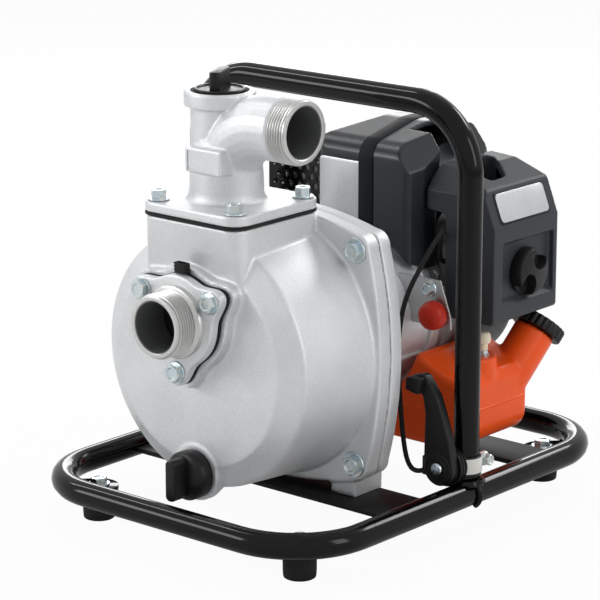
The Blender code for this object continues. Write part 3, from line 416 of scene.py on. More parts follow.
def cast_metal(name, colour, roughness, metallic=0.6, grain=0.45):
    """Sand-blasted casting: sharp grain, faint clouds in colour and gloss."""
    made = Finish(name, colour, roughness, metallic)
    clouds = made.noise(26.0, 4.0)
    fine = made.noise(950.0, 3.0, 0.7)
    light = tuple(min(1.0, c * 1.12) for c in colour)
    dark = tuple(c * 0.84 for c in colour)
    mask = made.ramp(clouds * 0.35 + fine * 0.65, (0.3, 0.0), (0.7, 1.0))
    made.feed(base_color=made.tint(mask, dark, light),
              roughness=roughness - 0.06 + clouds * 0.06 + fine * 0.06)
    made.bump(fine, grain, 0.0005)
    return made.material


def moulded(name, colour, roughness, grain=0.25, scale=1100.0, shine=0.28):
    """Plastic with a fine moulded grain and slight colour drift."""
    made = Finish(name, colour, roughness, 0.0, specular_ior_level=shine)
    drift = made.noise(18.0, 2.0)
    fine = made.noise(scale, 3.0, 0.6)
    dark, light = tuple(c * 0.88 for c in colour), tuple(c * 1.12 for c in colour)
    made.feed(base_color=made.tint(drift, dark, light), roughness=roughness - 0.05 + fine * 0.1)
    made.bump(fine, grain, 0.0003)
    return made.material


def plated(name, colour, roughness):
    """Zinc-plated steel with a faint clouded tint."""
    made = Finish(name, colour, roughness, 1.0)
    clouds = made.noise(160.0, 3.0)
    warm = tuple(c * f for c, f in zip(colour, (1.06, 1.03, 0.96)))
    cool = tuple(c * f for c, f in zip(colour, (0.86, 0.94, 1.00)))
    made.feed(base_color=made.tint(made.ramp(clouds, (0.35, 0.0), (0.65, 1.0)), cool, warm),
              roughness=roughness - 0.06 + clouds * 0.16)
    made.bump(made.noise(700.0, 2.0), 0.1, 0.0003)
    return made.material


def black_paint(name, colour, roughness):
    """Thick paint with a slight orange peel."""
    made = Finish(name, colour, roughness, 0.0, specular_ior_level=0.22)
    peel = made.noise(120.0, 2.0)
    dust = made.noise(900.0, 2.0)
    made.feed(roughness=roughness - 0.035 + dust * 0.07)
    made.bump(peel, 0.06, 0.0006)
    return made.material


def rubber(name, colour, roughness=0.66):
    made = Finish(name, colour, roughness, specular_ior_level=0.28)
    bloom = made.noise(60.0, 4.0)
    made.feed(base_color=made.tint(bloom, colour, tuple(c * 1.7 for c in colour)),
              roughness=roughness - 0.08 + bloom * 0.16)
    made.bump(made.noise(900.0, 3.0), 0.25, 0.0003)
    return made.material


ALUMINIUM = cast_metal("sand_cast_aluminium", (0.7, 0.715, 0.73), 0.46)
PORT_METAL = cast_metal("machined_port_aluminium", (0.6, 0.6, 0.59), 0.34, 0.85, 0.15)
# dark inner metal: painted shade for the insides of the port bores and the volute inside the casing
PAINTED_SHADE_METAL = cast_metal("inner_metal_painted_shade", (0.16, 0.165, 0.17), 0.6, 0.5)
ENGINE_CAST = cast_metal("die_cast_engine", (0.42, 0.43, 0.44), 0.45)
ZINC = plated("zinc_plated_steel", (0.62, 0.67, 0.69), 0.26)
STEEL = cast_metal("bare_sheet_steel", (0.56, 0.56, 0.56), 0.36, 0.85, 0.08)
PLATE = cast_metal("plain_silver_plate", (0.62, 0.63, 0.64), 0.36, 0.8, 0.06)
PAINT = black_paint("gloss_black_paint", (0.0018, 0.0018, 0.002), 0.125)
SATIN = black_paint("satin_black_paint", (0.006, 0.006, 0.0066), 0.5)
BLACK = moulded("black_plastic", (0.006, 0.006, 0.0072), 0.4)
# darker ribbon plastic: painted shade of the band that runs over the hood's roof and down its front
PAINTED_SHADE_RIBBON = moulded("ribbon_plastic_painted_shade", (0.006, 0.0072, 0.009), 0.6, 0.25, 1100.0, 0.16)
CHARCOAL = moulded("charcoal_plastic", (0.0095, 0.0128, 0.0165), 0.33, 0.16, 1100.0, 0.5)
GREY = moulded("grey_plastic", (0.033, 0.038, 0.044), 0.46, 0.3, 900.0)
ORANGE = moulded("orange_tank_plastic", (0.94, 0.1, 0.01), 0.32, 0.1, 500.0)
RED = moulded("red_button_rubber", (0.52, 0.022, 0.007), 0.42, 0.2)
RUBBER = rubber("black_rubber", (0.0065, 0.0065, 0.007))
CREAM = rubber("cream_rubber", (0.66, 0.58, 0.44), 0.45)
OFF_WHITE = moulded("off_white_enamel", (0.7, 0.69, 0.65), 0.3, 0.05)
PAPER = moulded("grey_gasket_paper", (0.2, 0.2, 0.2), 0.7)


# Camera, light and floor

def seen_rays(tree, *others):
    """Socket that is 1 for camera rays and for the other kinds of ray that are named."""
    path = tree.nodes.new("ShaderNodeLightPath")
    seen = path.outputs["Is Camera Ray"]
    for ray in others:
        either = tree.nodes.new("ShaderNodeMath")
        either.operation = "MAXIMUM"
        tree.links.new(seen, either.inputs[0])
        tree.links.new(path.outputs[ray], either.inputs[1])
        seen = either.outputs[0]
    return seen


def show_white(tree, seen, lit, white, output):
    """Let the rays that are seen meet plain white, and the others the lit surface."""
    mix = tree.nodes.new("ShaderNodeMixShader")
    for place, socket in enumerate((seen, lit, white)):
        tree.links.new(socket, mix.inputs[place])
    tree.links.new(mix.outputs[0], tree.nodes[output].inputs["Surface"])


def build_stage():
    """The photo's camera, a pale floor that keeps the shadow, white surroundings and five lamps."""
    away = math.radians(40.51)
    down = math.radians(14.86)
    forward = Vector((-math.sin(away) * math.cos(down), math.cos(away) * math.cos(down), -math.sin(down)))
    bpy.ops.object.camera_add(location=(1.35295, -1.6132, 0.7166),
                              rotation=forward.to_track_quat("-Z", "Y").to_euler())
    camera = bpy.context.object
    sensor_width, focal_pixels, picture_pixels = 36.0, 2862.65, 600.0
    camera.data.sensor_width = sensor_width
    camera.data.lens = sensor_width * focal_pixels / picture_pixels
    camera.data.clip_end = 20.0
    bpy.context.scene.camera = camera

    fresh()
    bpy.ops.mesh.primitive_plane_add(size=14.0)
    floor = bpy.context.object
    floor.name = "studio_floor"
    plain = Finish("pale_floor", (0.8, 0.8, 0.8), 0.85)
    tree = plain.tree
    glow = tree.nodes.new("ShaderNodeEmission")
    share_of_white = 0.95
    seen = Wire(plain, seen_rays(tree, "Is Transmission Ray")) * share_of_white
    show_white(tree, seen.socket, plain.shader.outputs[0], glow.outputs[0], "Material Output")
    floor.data.materials.append(plain.material)

    world = bpy.data.worlds.new("soft_studio")
    bpy.context.scene.world = world
    world.use_nodes = True
    tree = world.node_tree
    sky = tree.nodes["Background"]
    white = tree.nodes.new("ShaderNodeBackground")
    sky.inputs["Color"].default_value = (1, 1, 1, 1)
    sky.inputs["Strength"].default_value = 0.5
    white.inputs["Strength"].default_value = 1.0
    seen = seen_rays(tree, "Is Glossy Ray", "Is Transmission Ray")
    show_white(tree, seen, sky.outputs[0], white.outputs[0], "World Output")

    target = Vector((0, -0.03, 0.17))
    for name, at, size, power in (
            ("front_softbox", (-1.2, -1.55, 0.85), (1.0, 0.5), 11.5),
            ("right_softbox", (2.0, 0.1, 1.0), (0.6, 1.2), 9.8),
            ("left_strip", (-1.45, -0.25, 1.75), (0.2, 1.2), 8.0),
            ("rear_softbox", (0.45, 1.7, 1.5), (1.0, 0.45), 16.0),
            ("roof_softbox", (-1.35, 1.5, 0.78), (1.0, 0.4), 8.0)):
        aim = (target - Vector(at)).to_track_quat("-Z", "Y").to_euler()
        bpy.ops.object.light_add(type="AREA", location=at, rotation=aim)
        lamp = bpy.context.object
        lamp.name = name
        lamp.data.shape = "RECTANGLE"
        lamp.data.size, lamp.data.size_y = size
        lamp.data.energy = power
    bpy.context.scene.view_settings.view_transform = "Standard"


# Frame

def build_frame():
    """Bent tube loop with foot tabs, the carrying hoop, the cross members and the rubber feet."""
    loop = []
    corner_x, corner_y, bend = 0.076, 0.123, 0.06
    for sx, sy, start in ((1, 1, 0), (-1, 1, 90), (-1, -1, 180), (1, -1, 270)):
        loop += arc((sx * corner_x, sy * corner_y), bend, start, start + 90, 14)
    rails = tube(facing_up(loop, RAIL_Z), TUBE_R, True)
    tabs = []
    half_width, reach = 0.015, 0.0255
    for sx, sy in CORNERS:
        out = Vector((sx, sy)).normalized()
        side = Vector((-out.y, out.x)) * half_width
        middle = Vector((sx * FOOT_X, sy * FOOT_Y))
        start = math.degrees(math.atan2(out.y, out.x))
        outline = arc(middle, half_width, start + 90, start + 270, 16)
        outline += [tuple(middle + out * reach - side), tuple(middle + out * reach + side)]
        tabs.append(soften(slab(facing_up(outline, TAB_Z), Z * TAB_THICK), 0.0006, 2))
    dress(weld(rails, *tabs), "frame_rails", PAINT, "base_frame")

    halves = []
    bend = 0.051
    for reach in (HOOP_LEFT, HOOP_RIGHT):
        upright = [(reach, z) for z in (0.034, 0.12, 0.2)]
        halves.append(upright + arc((reach - bend, 0.2711), bend, 0, 90, 16))
    line = [(-a, b) for a, b in halves[0]] + halves[1][::-1]
    dress(tube(facing_front(line, HOOP_Y), TUBE_R), "carrying_hoop", PAINT, "carry_hoop")
    round_rail = arc((0, 0), 0.0103, 100, -55, 16)
    for place, sx in (("left", -1), ("right", 1)):
        bead = turned([(0.0088, 0.0), (0.0128, 0.0008), (0.0136, 0.0026), (0.012, 0.005), (0.0088, 0.0062),
                       (0.0088, 0.0)], (0.0021 + sx * 0.1324, HOOP_Y, 0.039), Z, 40)
        rib = tube([(sx * (RAIL_X + a), HOOP_Y, RAIL_Z + b) for a, b in round_rail], 0.0024)
        dress(together(bead, rib), "hoop_weld_%s" % place, PAINT, slot="carry_hoop")

    edge = RAIL_X - TUBE_R - GAP
    for place, low, high in (("front", -0.078, -0.03), ("rear", 0.086, 0.126)):
        profile = [(low, 0.029), (low + 0.003, 0.029), (low + 0.003, 0.0308), (high - 0.003, 0.0308),
                   (high - 0.003, 0.029), (high, 0.029), (high, 0.033), (low, 0.033)]
        plate = soften(slab(facing_right(profile, -edge), X * 2 * edge), 0.0007, 2)
        dress(plate, place + "_cross_member", SATIN, place + "_cross_plate")
    for k, (x, y) in enumerate(FEET, 1):
        foot = turned([(0, 0.0003), (0.011, 0.0003), (0.0117, 0.0008), (0.012, 0.0018), (0.0123, 0.006),
                       (0.0124, 0.0196), (0.012, 0.0212), (0.011, TAB_Z - GAP), (0, TAB_Z - GAP)],
                      (x, y, 0), Z, 48)
        dress(foot, "foot_%d" % k, RUBBER, "rubber_foot_%d" % k)


# Fasteners

def bolt(at, axis, head, washer, turn=0.0, height=0.0048):
    """Hexagon bolt with a domed, dished head on a plain washer."""
    at, axis = Vector(at), Vector(axis)
    disc = turned([(0, -0.004), (head * 0.5, -0.004), (head * 0.5, 0.0002), (washer - 0.0006, 0.0002),
                   (washer, 0.0007), (washer - 0.0004, 0.0014), (0, 0.0016)], at, axis, 40)
    crown = hexagon(head, at + axis * 0.0012, axis, height)
    rim, dish = height + 0.0012, height + 0.0004
    lens = turned([(0, -0.001), (head * 1.02, -0.001), (head * 1.02, height + 0.0002), (head * 0.84, rim),
                   (head * 0.62, rim), (head * 0.5, dish), (0, dish)], at, axis, 36)
    with_tool(crown, [lens], "INTERSECT")
    if turn:
        hold(crown)
        bpy.ops.object.mode_set(mode="EDIT")
        bpy.ops.mesh.select_all(action="SELECT")
        bpy.ops.transform.rotate(value=turn, orient_axis="Z" if abs(axis.z) > 0.9 else "Y",
                                 orient_type="GLOBAL", center_override=at)
        bpy.ops.object.mode_set(mode="OBJECT")
    return weld(crown, disc)


def suction_spots(y=0.0):
    """Centres of the bolts round the suction port."""
    turns = [math.radians(lobe) for lobe in SUCTION_LOBES]
    return [(SUCTION_BOLT * math.cos(t), y, SUCTION_Z + SUCTION_BOLT * math.sin(t)) for t in turns]


def elbow_spots(z=0.0):
    return [(a * ELBOW_BOLT, ELBOW_Y + b * ELBOW_BOLT, z) for a, b in CORNERS]


def flange_spots(y=0.0):
    return [(a * FLANGE_BOLT, y, AXIS_Z + b * FLANGE_BOLT) for a, b in CORNERS]


def bolt_holes(spots, low, high, axis, radius=0.0034):
    """Pins that cut the holes for a group of bolts."""
    return [bar(radius, low, high, spot, axis, 24) for spot in spots]


def build_bolts():
    """All the bolts of frame and pump, no two neighbours turned alike."""
    suction_face = -0.156 - 0.0023 - GAP - 0.008
    placed = 0
    for group, spots, axis, head, washer, height in (
            ("foot", facing_up(FEET, TAB_Z + TAB_THICK), Z, 0.0066, 0.0085, 0.0048),
            ("suction", suction_spots(suction_face), -Y, 0.0072, 0.0084, 0.0048),
            ("elbow", elbow_spots(0.2558), Z, 0.006, 0.008, 0.0066),
            ("casing", flange_spots(-0.0632), -Y, 0.0076, 0.0098, 0.0048)):
        for k, spot in enumerate(spots, 1):
            made = bolt(spot, axis, head, washer, 0.37 * (placed % 5), height)
            dress(made, "%s_screw_%d" % (group, k), ZINC, "%s_bolt_%d" % (group, k), angle=28)
            placed += 1


# Pump casing and its ports

def flange_outline(grow=0.0):
    """Square pump flange: four bolt lugs joined by sides that bulge round the drum."""
    half, lug, bulge = FLANGE_BOLT, 0.0125 + grow, 0.011
    corners = [(half, half), (-half, half), (-half, -half), (half, -half)]
    outline = []
    for quarter, centre in enumerate(corners):
        start = 90 * quarter
        outline += arc(centre, lug, start, start + 90, 10)
        here = Vector(outline[-1])
        out = Vector((math.cos(math.radians(start + 90)), math.sin(math.radians(start + 90))))
        there = Vector(corners[(quarter + 1) % 4]) + out * lug
        for k in range(1, 16):
            t = k / 16
            outline.append(tuple(here.lerp(there, t) + out * bulge * 4 * t * (1 - t)))
    return outline


def suction_outline(grow=0.0, steps=120):
    """Round flange with a lobe at each of three bolts."""
    outline = []
    for k in range(steps):
        turn = math.tau * k / steps
        reach = 0.034 + grow
        for lobe in SUCTION_LOBES:
            off = math.remainder(turn - math.radians(lobe), math.tau)
            reach += 0.0145 * math.exp(-(off / 0.27) ** 2)
        outline.append((reach * math.cos(turn), reach * math.sin(turn)))
    return outline


def valve_hollow(low, rise):
    """Inside of the valve box."""
    return slab(facing_up(rounded_rectangle((-0.04, 0.04), (-0.147, -0.0715), 0.009), low), Z * rise)


def build_casing():
    """Cast drum with its square flange, valve box, ports and feet."""
    centre, port, drain = (0, 0, AXIS_Z), (0, 0, SUCTION_Z), (0, 0, DRAIN_Z)
    drum = turned([(0, 0.0545), (0.101, 0.0545), (0.1005, 0.0632), (0.0958, 0.1345), (0.0945, 0.1362),
                   (0.0795, 0.1462), (0.0775, 0.1467), (0, 0.1467)], centre, -Y, 128)
    flange = slab(facing_front(flange_outline(), -0.0502, AXIS_Z), -Y * 0.013)
    walls = rounded_rectangle((-0.047, 0.047), (-0.154, -0.0595), 0.014, 10)
    box = slab(facing_up(walls, 0.15), Z * 0.0958)
    slope = [(-0.17, 0.14), (-0.1462, 0.14), (-0.1462, 0.196), (-0.1541, 0.2445), (-0.17, 0.2445)]
    cut(box, slab(facing_right(slope, -0.06), X * 0.12))
    pad = slab(facing_front(suction_outline(0.0042), -0.13, SUCTION_Z), -Y * 0.026)
    boss = turned([(0, 0.122), (0.0125, 0.122), (0.0192, 0.134), (0.0212, 0.14), (0.0212, 0.1475),
                   (0, 0.1475)], drain, -Y, 64)
    sole = [(-0.0622, 0.0333), (-0.03, 0.0333), (-0.03, 0.0468), (-0.0512, 0.0468), (-0.0512, 0.064),
            (-0.0622, 0.064)]
    feet = [slab(facing_right(sole, low), X * 0.0231) for low in (0.0576, -0.0807)]
    casing = as_casting([drum, flange, box, pad, boss, *feet], 0.0012, 2)
    inner = turned([(0, 0.045), (0.093, 0.045), (0.093, 0.118), (0.088, 0.131), (0.075, 0.1397), (0, 0.1397)],
                   centre, -Y, 64)
    cut_dense(casing, inner, valve_hollow(0.17, 0.085), bar(0.024, 0.11, 0.17, port, -Y),
              bar(0.0105, 0.08, 0.17, drain, -Y, 32))
    holes = bolt_holes(flange_spots(), 0.04, 0.075, -Y, 0.004)
    holes += bolt_holes(elbow_spots(), 0.229, 0.26, Z)
    holes += bolt_holes(suction_spots(), 0.146, 0.17, -Y)
    cut_dense(casing, together(*holes))
    dress(casing, "casing_shell", ALUMINIUM, "pump_casing", angle=50)


def thread_profile(start, end, pitch=0.0023):
    """Ridges of a pipe thread as (radius, height) points."""
    points = []
    count = int(round((end - start) / pitch))
    step = (end - start) / count
    shoulder = THREAD_CREST - 0.0003
    for k in range(count):
        low = start + (end - start) * k / count
        points += [(THREAD_ROOT, low), (THREAD_ROOT, low + step * 0.16), (shoulder, low + step * 0.42),
                   (THREAD_CREST, low + step * 0.54), (THREAD_CREST, low + step * 0.66),
                   (shoulder, low + step * 0.76)]
    return points + [(THREAD_ROOT, end)]


def bore_shade_lining(low, high, centre, axis):
    """Thin dark lining inside a port: painted shade in the bore."""
    inner, outer = BORE_R - 0.0006, BORE_R - 0.0002
    return turned([(inner, low), (outer, low), (outer, high), (inner, high), (inner, low)], centre, axis, 96)


def build_suction():
    """Suction flange, its threaded pipe, and the gasket behind it with a finger tab."""
    centre = (0, 0, SUCTION_Z)
    plate = slab(facing_front(suction_outline(), -0.1586, SUCTION_Z), -Y * 0.008)
    soften(plate, 0.0014, 3, 50)
    cut(plate, bar(0.0225, 0.15, 0.18, centre, -Y), *bolt_holes(suction_spots(), 0.15, 0.18, -Y))
    dress(plate, "suction_plate", ALUMINIUM, "suction_flange")
    profile = [(BORE_R, 0.1588), (0.0272, 0.1588), (0.0272, 0.169), (0.0266, 0.1704), (0.0252, 0.171),
               (0.0243, 0.1718), (0.0231, 0.1724)]
    profile += thread_profile(0.1726, 0.1868)
    profile += [(0.0231, 0.1874), (0.0231, 0.1884), (0.0224, 0.1893), (0.0218, 0.1895),
                (BORE_R + 0.0006, 0.1895), (BORE_R, 0.1889), (BORE_R, 0.1588)]
    dress(turned(profile, centre, -Y, 128), "suction_pipe", PORT_METAL, angle=25, slot="suction_flange")
    # dark lining inside the suction bore: painted shade
    dress(bore_shade_lining(0.1592, 0.1884, centre, -Y), "suction_bore_painted_shade", PAINTED_SHADE_METAL, slot="suction_flange")

    gasket = slab(facing_front(suction_outline(0.0002), -0.1563, SUCTION_Z), -Y * 0.002)
    cut(gasket, bar(0.024, 0.15, 0.17, centre, -Y), *bolt_holes(suction_spots(), 0.15, 0.18, -Y))
    tab = block((-0.0054, -0.1622, SUCTION_Z + 0.0344), (0.0054, -0.1565, SUCTION_Z + 0.0422))
    soften(tab, 0.0007, 2)
    web = block((-0.005, -0.1582, SUCTION_Z + 0.03), (0.005, -0.1565, SUCTION_Z + 0.036))
    ribs = []
    for low in (SUCTION_Z + 0.0362, SUCTION_Z + 0.0386, SUCTION_Z + 0.041):
        rib = block((-0.0058, -0.1625, low), (0.0058, -0.157, low + 0.0012))
        ribs.append(soften(rib, 0.0004, 2))
    dress(together(gasket, tab, web, *ribs), "suction_gasket_ring", RUBBER, "suction_gasket")


def elbow_square(half, corner, steps, low, rise):
    """Square plate with rounded corners at the foot of the elbow."""
    edge = rounded_rectangle((-half, half), (ELBOW_Y - half, ELBOW_Y + half), corner, steps)
    return slab(facing_up(edge, low), Z * rise)


def build_elbow():
    """Elbow casting with its filler neck, threaded outlet and gasket."""
    mouth, neck_foot, riser_x = (0, ELBOW_Y, OUTLET_Z), (NECK_X, ELBOW_Y, 0), -0.004
    base = elbow_square(0.048, 0.014, 10, 0.2484, 0.0074)
    riser = turned([(0, 0.25), (0.0296, 0.25), (0.0292, 0.2562), (0.0278, 0.2585), (0.0272, 0.262),
                    (0.0268, 0.275), (0.025, 0.292), (0.0225, 0.3), (0, 0.3)],
                   (riser_x, ELBOW_Y, 0), Z, 72)
    bend = [(riser_x, ELBOW_Y, 0.255)]
    bend += facing_front(arc((0.04, 0.2691), 0.044, 180, 90, 14), ELBOW_Y)
    bend += [(0.052, ELBOW_Y, OUTLET_Z)]
    pipe = tube(bend, 0.0238, rounds=10)
    outlet = turned([(0, 0.036), (0.0236, 0.036), (0.0236, 0.05), (0.0226, 0.0516), (0.0226, 0.064),
                     (0, 0.064)], mouth, X, 72)
    neck = turned([(0, 0.27), (0.0215, 0.27), (0.0215, 0.322), (0.0236, 0.3232), (0.0262, 0.324),
                   (0.0262, 0.3338), (0.0255, 0.3345), (0, 0.3345)], neck_foot, Z, 72)
    boss = block((-0.017, -0.1372, 0.2785), (0.017, -0.11, 0.2965))
    elbow = as_casting([base, riser, pipe, outlet, neck, boss], 0.00095, 2)
    bore = [(riser_x, ELBOW_Y, 0.235)] + bend[1:] + [(0.085, ELBOW_Y, OUTLET_Z)]
    recess = block((-0.0148, -0.14, 0.2806), (0.0148, -0.1364, 0.2944))
    cut_dense(elbow, tube(bore, BORE_R, rounds=8), bar(0.0175, 0.3, 0.345, neck_foot, Z),
              bar(0.0216, 0.331, 0.345, neck_foot, Z), recess)
    cut_dense(elbow, together(*bolt_holes(elbow_spots(), 0.24, 0.27, Z)))
    dress(elbow, "elbow_casting", ALUMINIUM, "discharge_elbow", angle=50)
    profile = [(BORE_R, 0.05), (0.0224, 0.05), (0.0224, 0.053), (0.0231, 0.0536)]
    profile += thread_profile(0.054, 0.0678)
    profile += [(0.0232, 0.0683), (0.0232, 0.0692), (0.0226, 0.07), (0.022, 0.0702),
                (BORE_R + 0.0006, 0.0702), (BORE_R, 0.0696), (BORE_R, 0.05)]
    dress(turned(profile, mouth, X, 128), "outlet_thread", PORT_METAL, angle=25, slot="discharge_elbow")
    # dark lining inside the outlet bore: painted shade
    dress(bore_shade_lining(0.03, 0.069, mouth, X), "outlet_bore_painted_shade", PAINTED_SHADE_METAL, slot="discharge_elbow")
    seal = elbow_square(0.0483, 0.0143, 8, 0.2461, 0.002)
    cut(seal, valve_hollow(0.24, 0.02))
    dress(soften(seal, 0.0003, 2), "elbow_seal", RUBBER, "elbow_gasket")


def grip_bar(width, length, low, high, centre, axis, along):
    """Finger bar with rounded ends and softened edges, standing across a cap."""
    axis, along = Vector(axis), Vector(along).normalized()
    side = axis.cross(along)
    outline = rounded_rectangle((-width / 2, width / 2), (-length / 2, length / 2), width * 0.42, 6)
    points = [Vector(centre) + side * a + along * b + axis * low for a, b in outline]
    return soften(slab(points, axis * (high - low)), 0.0012, 3, 50)


def build_caps():
    """Filler cap and drain cap with their finger bars and sealing rings."""
    centre = (NECK_X, ELBOW_Y, 0.3329)
    disc = turned([(0, -0.018), (0.014, -0.018), (0.0145, -0.0165), (0.0145, 0), (0.018, 0), (0.019, 0.0008),
                   (0.019, 0.0026), (0.0182, 0.0034), (0.0168, 0.0035), (0.016, 0.0024), (0.009, 0.0024),
                   (0, 0.0026)], centre, Z, 72)
    grip = grip_bar(0.008, 0.03, 0.0015, 0.0165, centre, Z, (-0.41, 0.912, 0))
    dress(together(disc, grip), "filler_cap", BLACK, "priming_cap")
    centre = (0, -0.1494, DRAIN_Z)
    disc = turned([(0, -0.02), (0.0092, -0.02), (0.0098, -0.0185), (0.0098, 0), (0.0176, 0), (0.0184, 0.001),
                   (0.0184, 0.0086), (0.0176, 0.01), (0.0164, 0.0106), (0.0115, 0.0126), (0, 0.013)],
                  centre, -Y, 72)
    grip = grip_bar(0.009, 0.031, 0.003, 0.026, centre, -Y, Z)
    dress(together(disc, grip), "drain_cap", BLACK, "drain_plug")
    for node, spot, axis, inner, outer in (
            ("priming_cap_seal", (NECK_X, ELBOW_Y, 0.331), Z, 0.0153, 0.0205),
            ("drain_plug_seal", (0, -0.1475, DRAIN_Z), -Y, 0.0105, 0.0178)):
        ring = turned([(inner, 0.0003), (outer - 0.0003, 0.0003), (outer, 0.0007), (outer, 0.0012),
                       (outer - 0.0003, 0.0016), (inner, 0.0016), (inner, 0.0003)], spot, axis, 64)
        dress(ring, node.replace("seal", "sealing_ring"), RUBBER, node)


def spokes(turn):
    """Directions out from the crank axis and round it, at one turn."""
    return Vector((math.cos(turn), 0, math.sin(turn))), Vector((-math.sin(turn), 0, math.cos(turn)))


def build_pump_back():
    """Back plate of the pump and the ribbed bell that joins it to the engine."""
    centre = (0, 0, AXIS_Z)
    plate = slab(facing_front(flange_outline(-0.0006), -0.0362, AXIS_Z), -Y * 0.0123)
    soften(plate, 0.0018, 3, 50)
    hub = turned([(0, 0.014), (0.044, 0.014), (0.046, 0.04), (0, 0.04)], centre, -Y, 96)
    weld(plate, hub)
    cut(plate, bar(0.0128, 0.0, 0.06, centre, -Y))
    dress(plate, "back_plate", ALUMINIUM, "pump_back_plate")

    bell = turned([(0.047, 0.0359), (0.059, 0.0359), (0.06, 0.0349), (0.06, 0.029), (0.0594, 0.0275),
                   (0.058, 0.024), (0.058, -0.0505), (0.059, -0.052), (0.062, -0.0523), (0.063, -0.0533),
                   (0.063, -0.0607), (0.062, -0.0617), (0.052, -0.0617), (0.052, 0.024), (0.047, 0.024),
                   (0.047, 0.0359)], centre, -Y, 96)
    ribs = []
    rib_section = [(-0.002, 0), (0.002, 0), (0.0014, 0.0045), (-0.0014, 0.0045)]
    for turn in (90, 205, 335):
        out, side = spokes(math.radians(turn))
        foot = Vector((0, -0.03, AXIS_Z)) + out * 0.056
        points = [foot + side * a + out * b for a, b in rib_section]
        ribs.append(soften(slab(points, Y * 0.0815), 0.0007, 2))
    dress(together(bell, *ribs), "adapter_bell", ALUMINIUM, "adapter_housing")


# Engine and its covers

def build_engine():
    """Crankcase with its barrel and fins, seen through the gaps between the covers."""
    centre = (0, 0, AXIS_Z)
    case = turned([(0, -0.062), (0.0602, -0.062), (0.061, -0.0628), (0.061, -0.0695), (0.047, -0.078),
                   (0.047, -0.1115), (0.055, -0.1128), (0.056, -0.1136), (0.056, -0.118), (0, -0.118)],
                  centre, -Y, 72)
    profile = [(0, 0.15), (0.025, 0.15), (0.025, 0.203)]
    for k in range(6):
        low = 0.2045 + 0.0065 * k
        profile += [(0.025, low), (0.0308, low + 0.0004), (0.031, low + 0.001), (0.0308, low + 0.0016),
                    (0.025, low + 0.002)]
    profile += [(0.025, 0.244), (0.018, 0.25), (0, 0.25)]
    barrel = turned(profile, (0, BARREL_Y, 0), Z, 48)
    weld(case, barrel, bar(0.012, 0.015, 0.044, (0, BARREL_Y, 0.206), X, 32),
         bar(0.014, 0.015, 0.05, (0, BARREL_Y, 0.222), -X, 32))
    cut(case, bar(0.0104, -0.2, 0.0, centre, -Y, 32), bar(0.0065, 0.238, 0.28, (0, BARREL_Y, 0), Z, 32))
    dress(case, "crankcase_and_barrel", ENGINE_CAST, "engine_block")


def left_slope(inset):
    """Wedge off the left of the hood's roof, wider towards the back."""
    edge = [(-0.048, 0.2711), (-0.148, 0.1861), (-0.148, 0.33), (-0.048, 0.33)]
    edge = [(a + inset, b - inset) for a, b in edge]
    return slab(facing_front(edge, 0.03), Vector((0.06, 0.12, 0.0292)))


def build_top_cover():
    """Charcoal hood arched over the crankcase, with a brow over a bare plate, a darker ribbon of painted
    shade and a scoop.
    """
    plan = rounded([(-0.0455, 0.04), (0.0465, 0.04), (0.0515, 0.056), (0.0515, 0.14), (-0.0455, 0.14)],
                   [0.012, 0.005, 0.01, 0.01, 0.012])
    hood = slab(facing_up(plan, 0.17), Z * 0.126)
    roof = rounded([(0.0395, 0.15), (0.15, 0.15), (0.15, 0.246), (0.134, 0.2625), (0.114, 0.286),
                    (0.092, 0.286), (0.0395, 0.274)], [0, 0, 0, 0.016, 0.014, 0.03, 0.016], 16)
    with_tool(hood, [slab(facing_right(roof, -0.06), X * 0.14)], "INTERSECT")
    inside = [(0.049, 0.15), (0.134, 0.15), (0.134, 0.252), (0.127, 0.2595), (0.102, 0.2815),
              (0.091, 0.2815), (0.053, 0.2722), (0.049, 0.268)]
    openings = (BARREL_Y - 0.022, BARREL_Y + 0.022)
    hollow = slab(facing_right(inside, -0.042), X * 0.078)
    cut(hollow, left_slope(0.0045))
    scoop = [(0.022, 0.276), (0.022, 0.31), (0.066, 0.31), (0.066, 0.246)]
    chamfer = [(0.027, 0.3), (0.027, 0.276), (0.056, 0.236), (0.075, 0.236), (0.075, 0.3)]
    cut(hood, left_slope(0.0), hollow, bar(0.0645, -0.16, -0.03, (0, 0, AXIS_Z), -Y, 96),
        slab(facing_front(scoop, 0.074), Vector((0.006, 0.032, 0))),
        slab(facing_front(chamfer, 0.03), Vector((0.012, 0.048, 0.014))),
        block((-0.06, 0.03, 0.15), (0.0, 0.0445, 0.26)),
        slab(facing_right(rounded_rectangle(openings, (0.2, 0.244), 0.004), -0.056), X * 0.026),
        slab(facing_right(rounded_rectangle(openings, (0.174, 0.226), 0.004), 0.033), X * 0.029))
    as_casting([hood], 0.0009, 5)
    dress(hood, "engine_hood", CHARCOAL, "top_cover", angle=50)
    over = rounded([(0.134, 0.2632), (0.1143, 0.2866), (0.092, 0.2866), (0.0389, 0.2746), (0.0389, 0.2085)],
                   [0, 0.014, 0.03, 0.0166, 0], 16)
    under = [(0.042, 0.2085), (0.042, 0.258), (0.045, 0.2665), (0.054, 0.2735), (0.092, 0.2838),
             (0.113, 0.2838), (0.132, 0.2615)]
    # flush strip darker than the hood: painted shade of the shaded band over the roof and front
    ribbon = soften(slab(facing_right(over + under, -0.0004), X * 0.0138), 0.0006, 2, 60)
    dress(ribbon, "hood_band_painted_shade", PAINTED_SHADE_RIBBON, slot="top_cover")
    edge = rounded_rectangle((-0.0425, -0.0014), (0.2065, 0.258), 0.003, 4)
    plate = slab(facing_front(edge, 0.0446), -Y * 0.001)
    dress(soften(plate, 0.0003, 2, 60), "bare_hood_plate", PLATE, slot="top_cover")


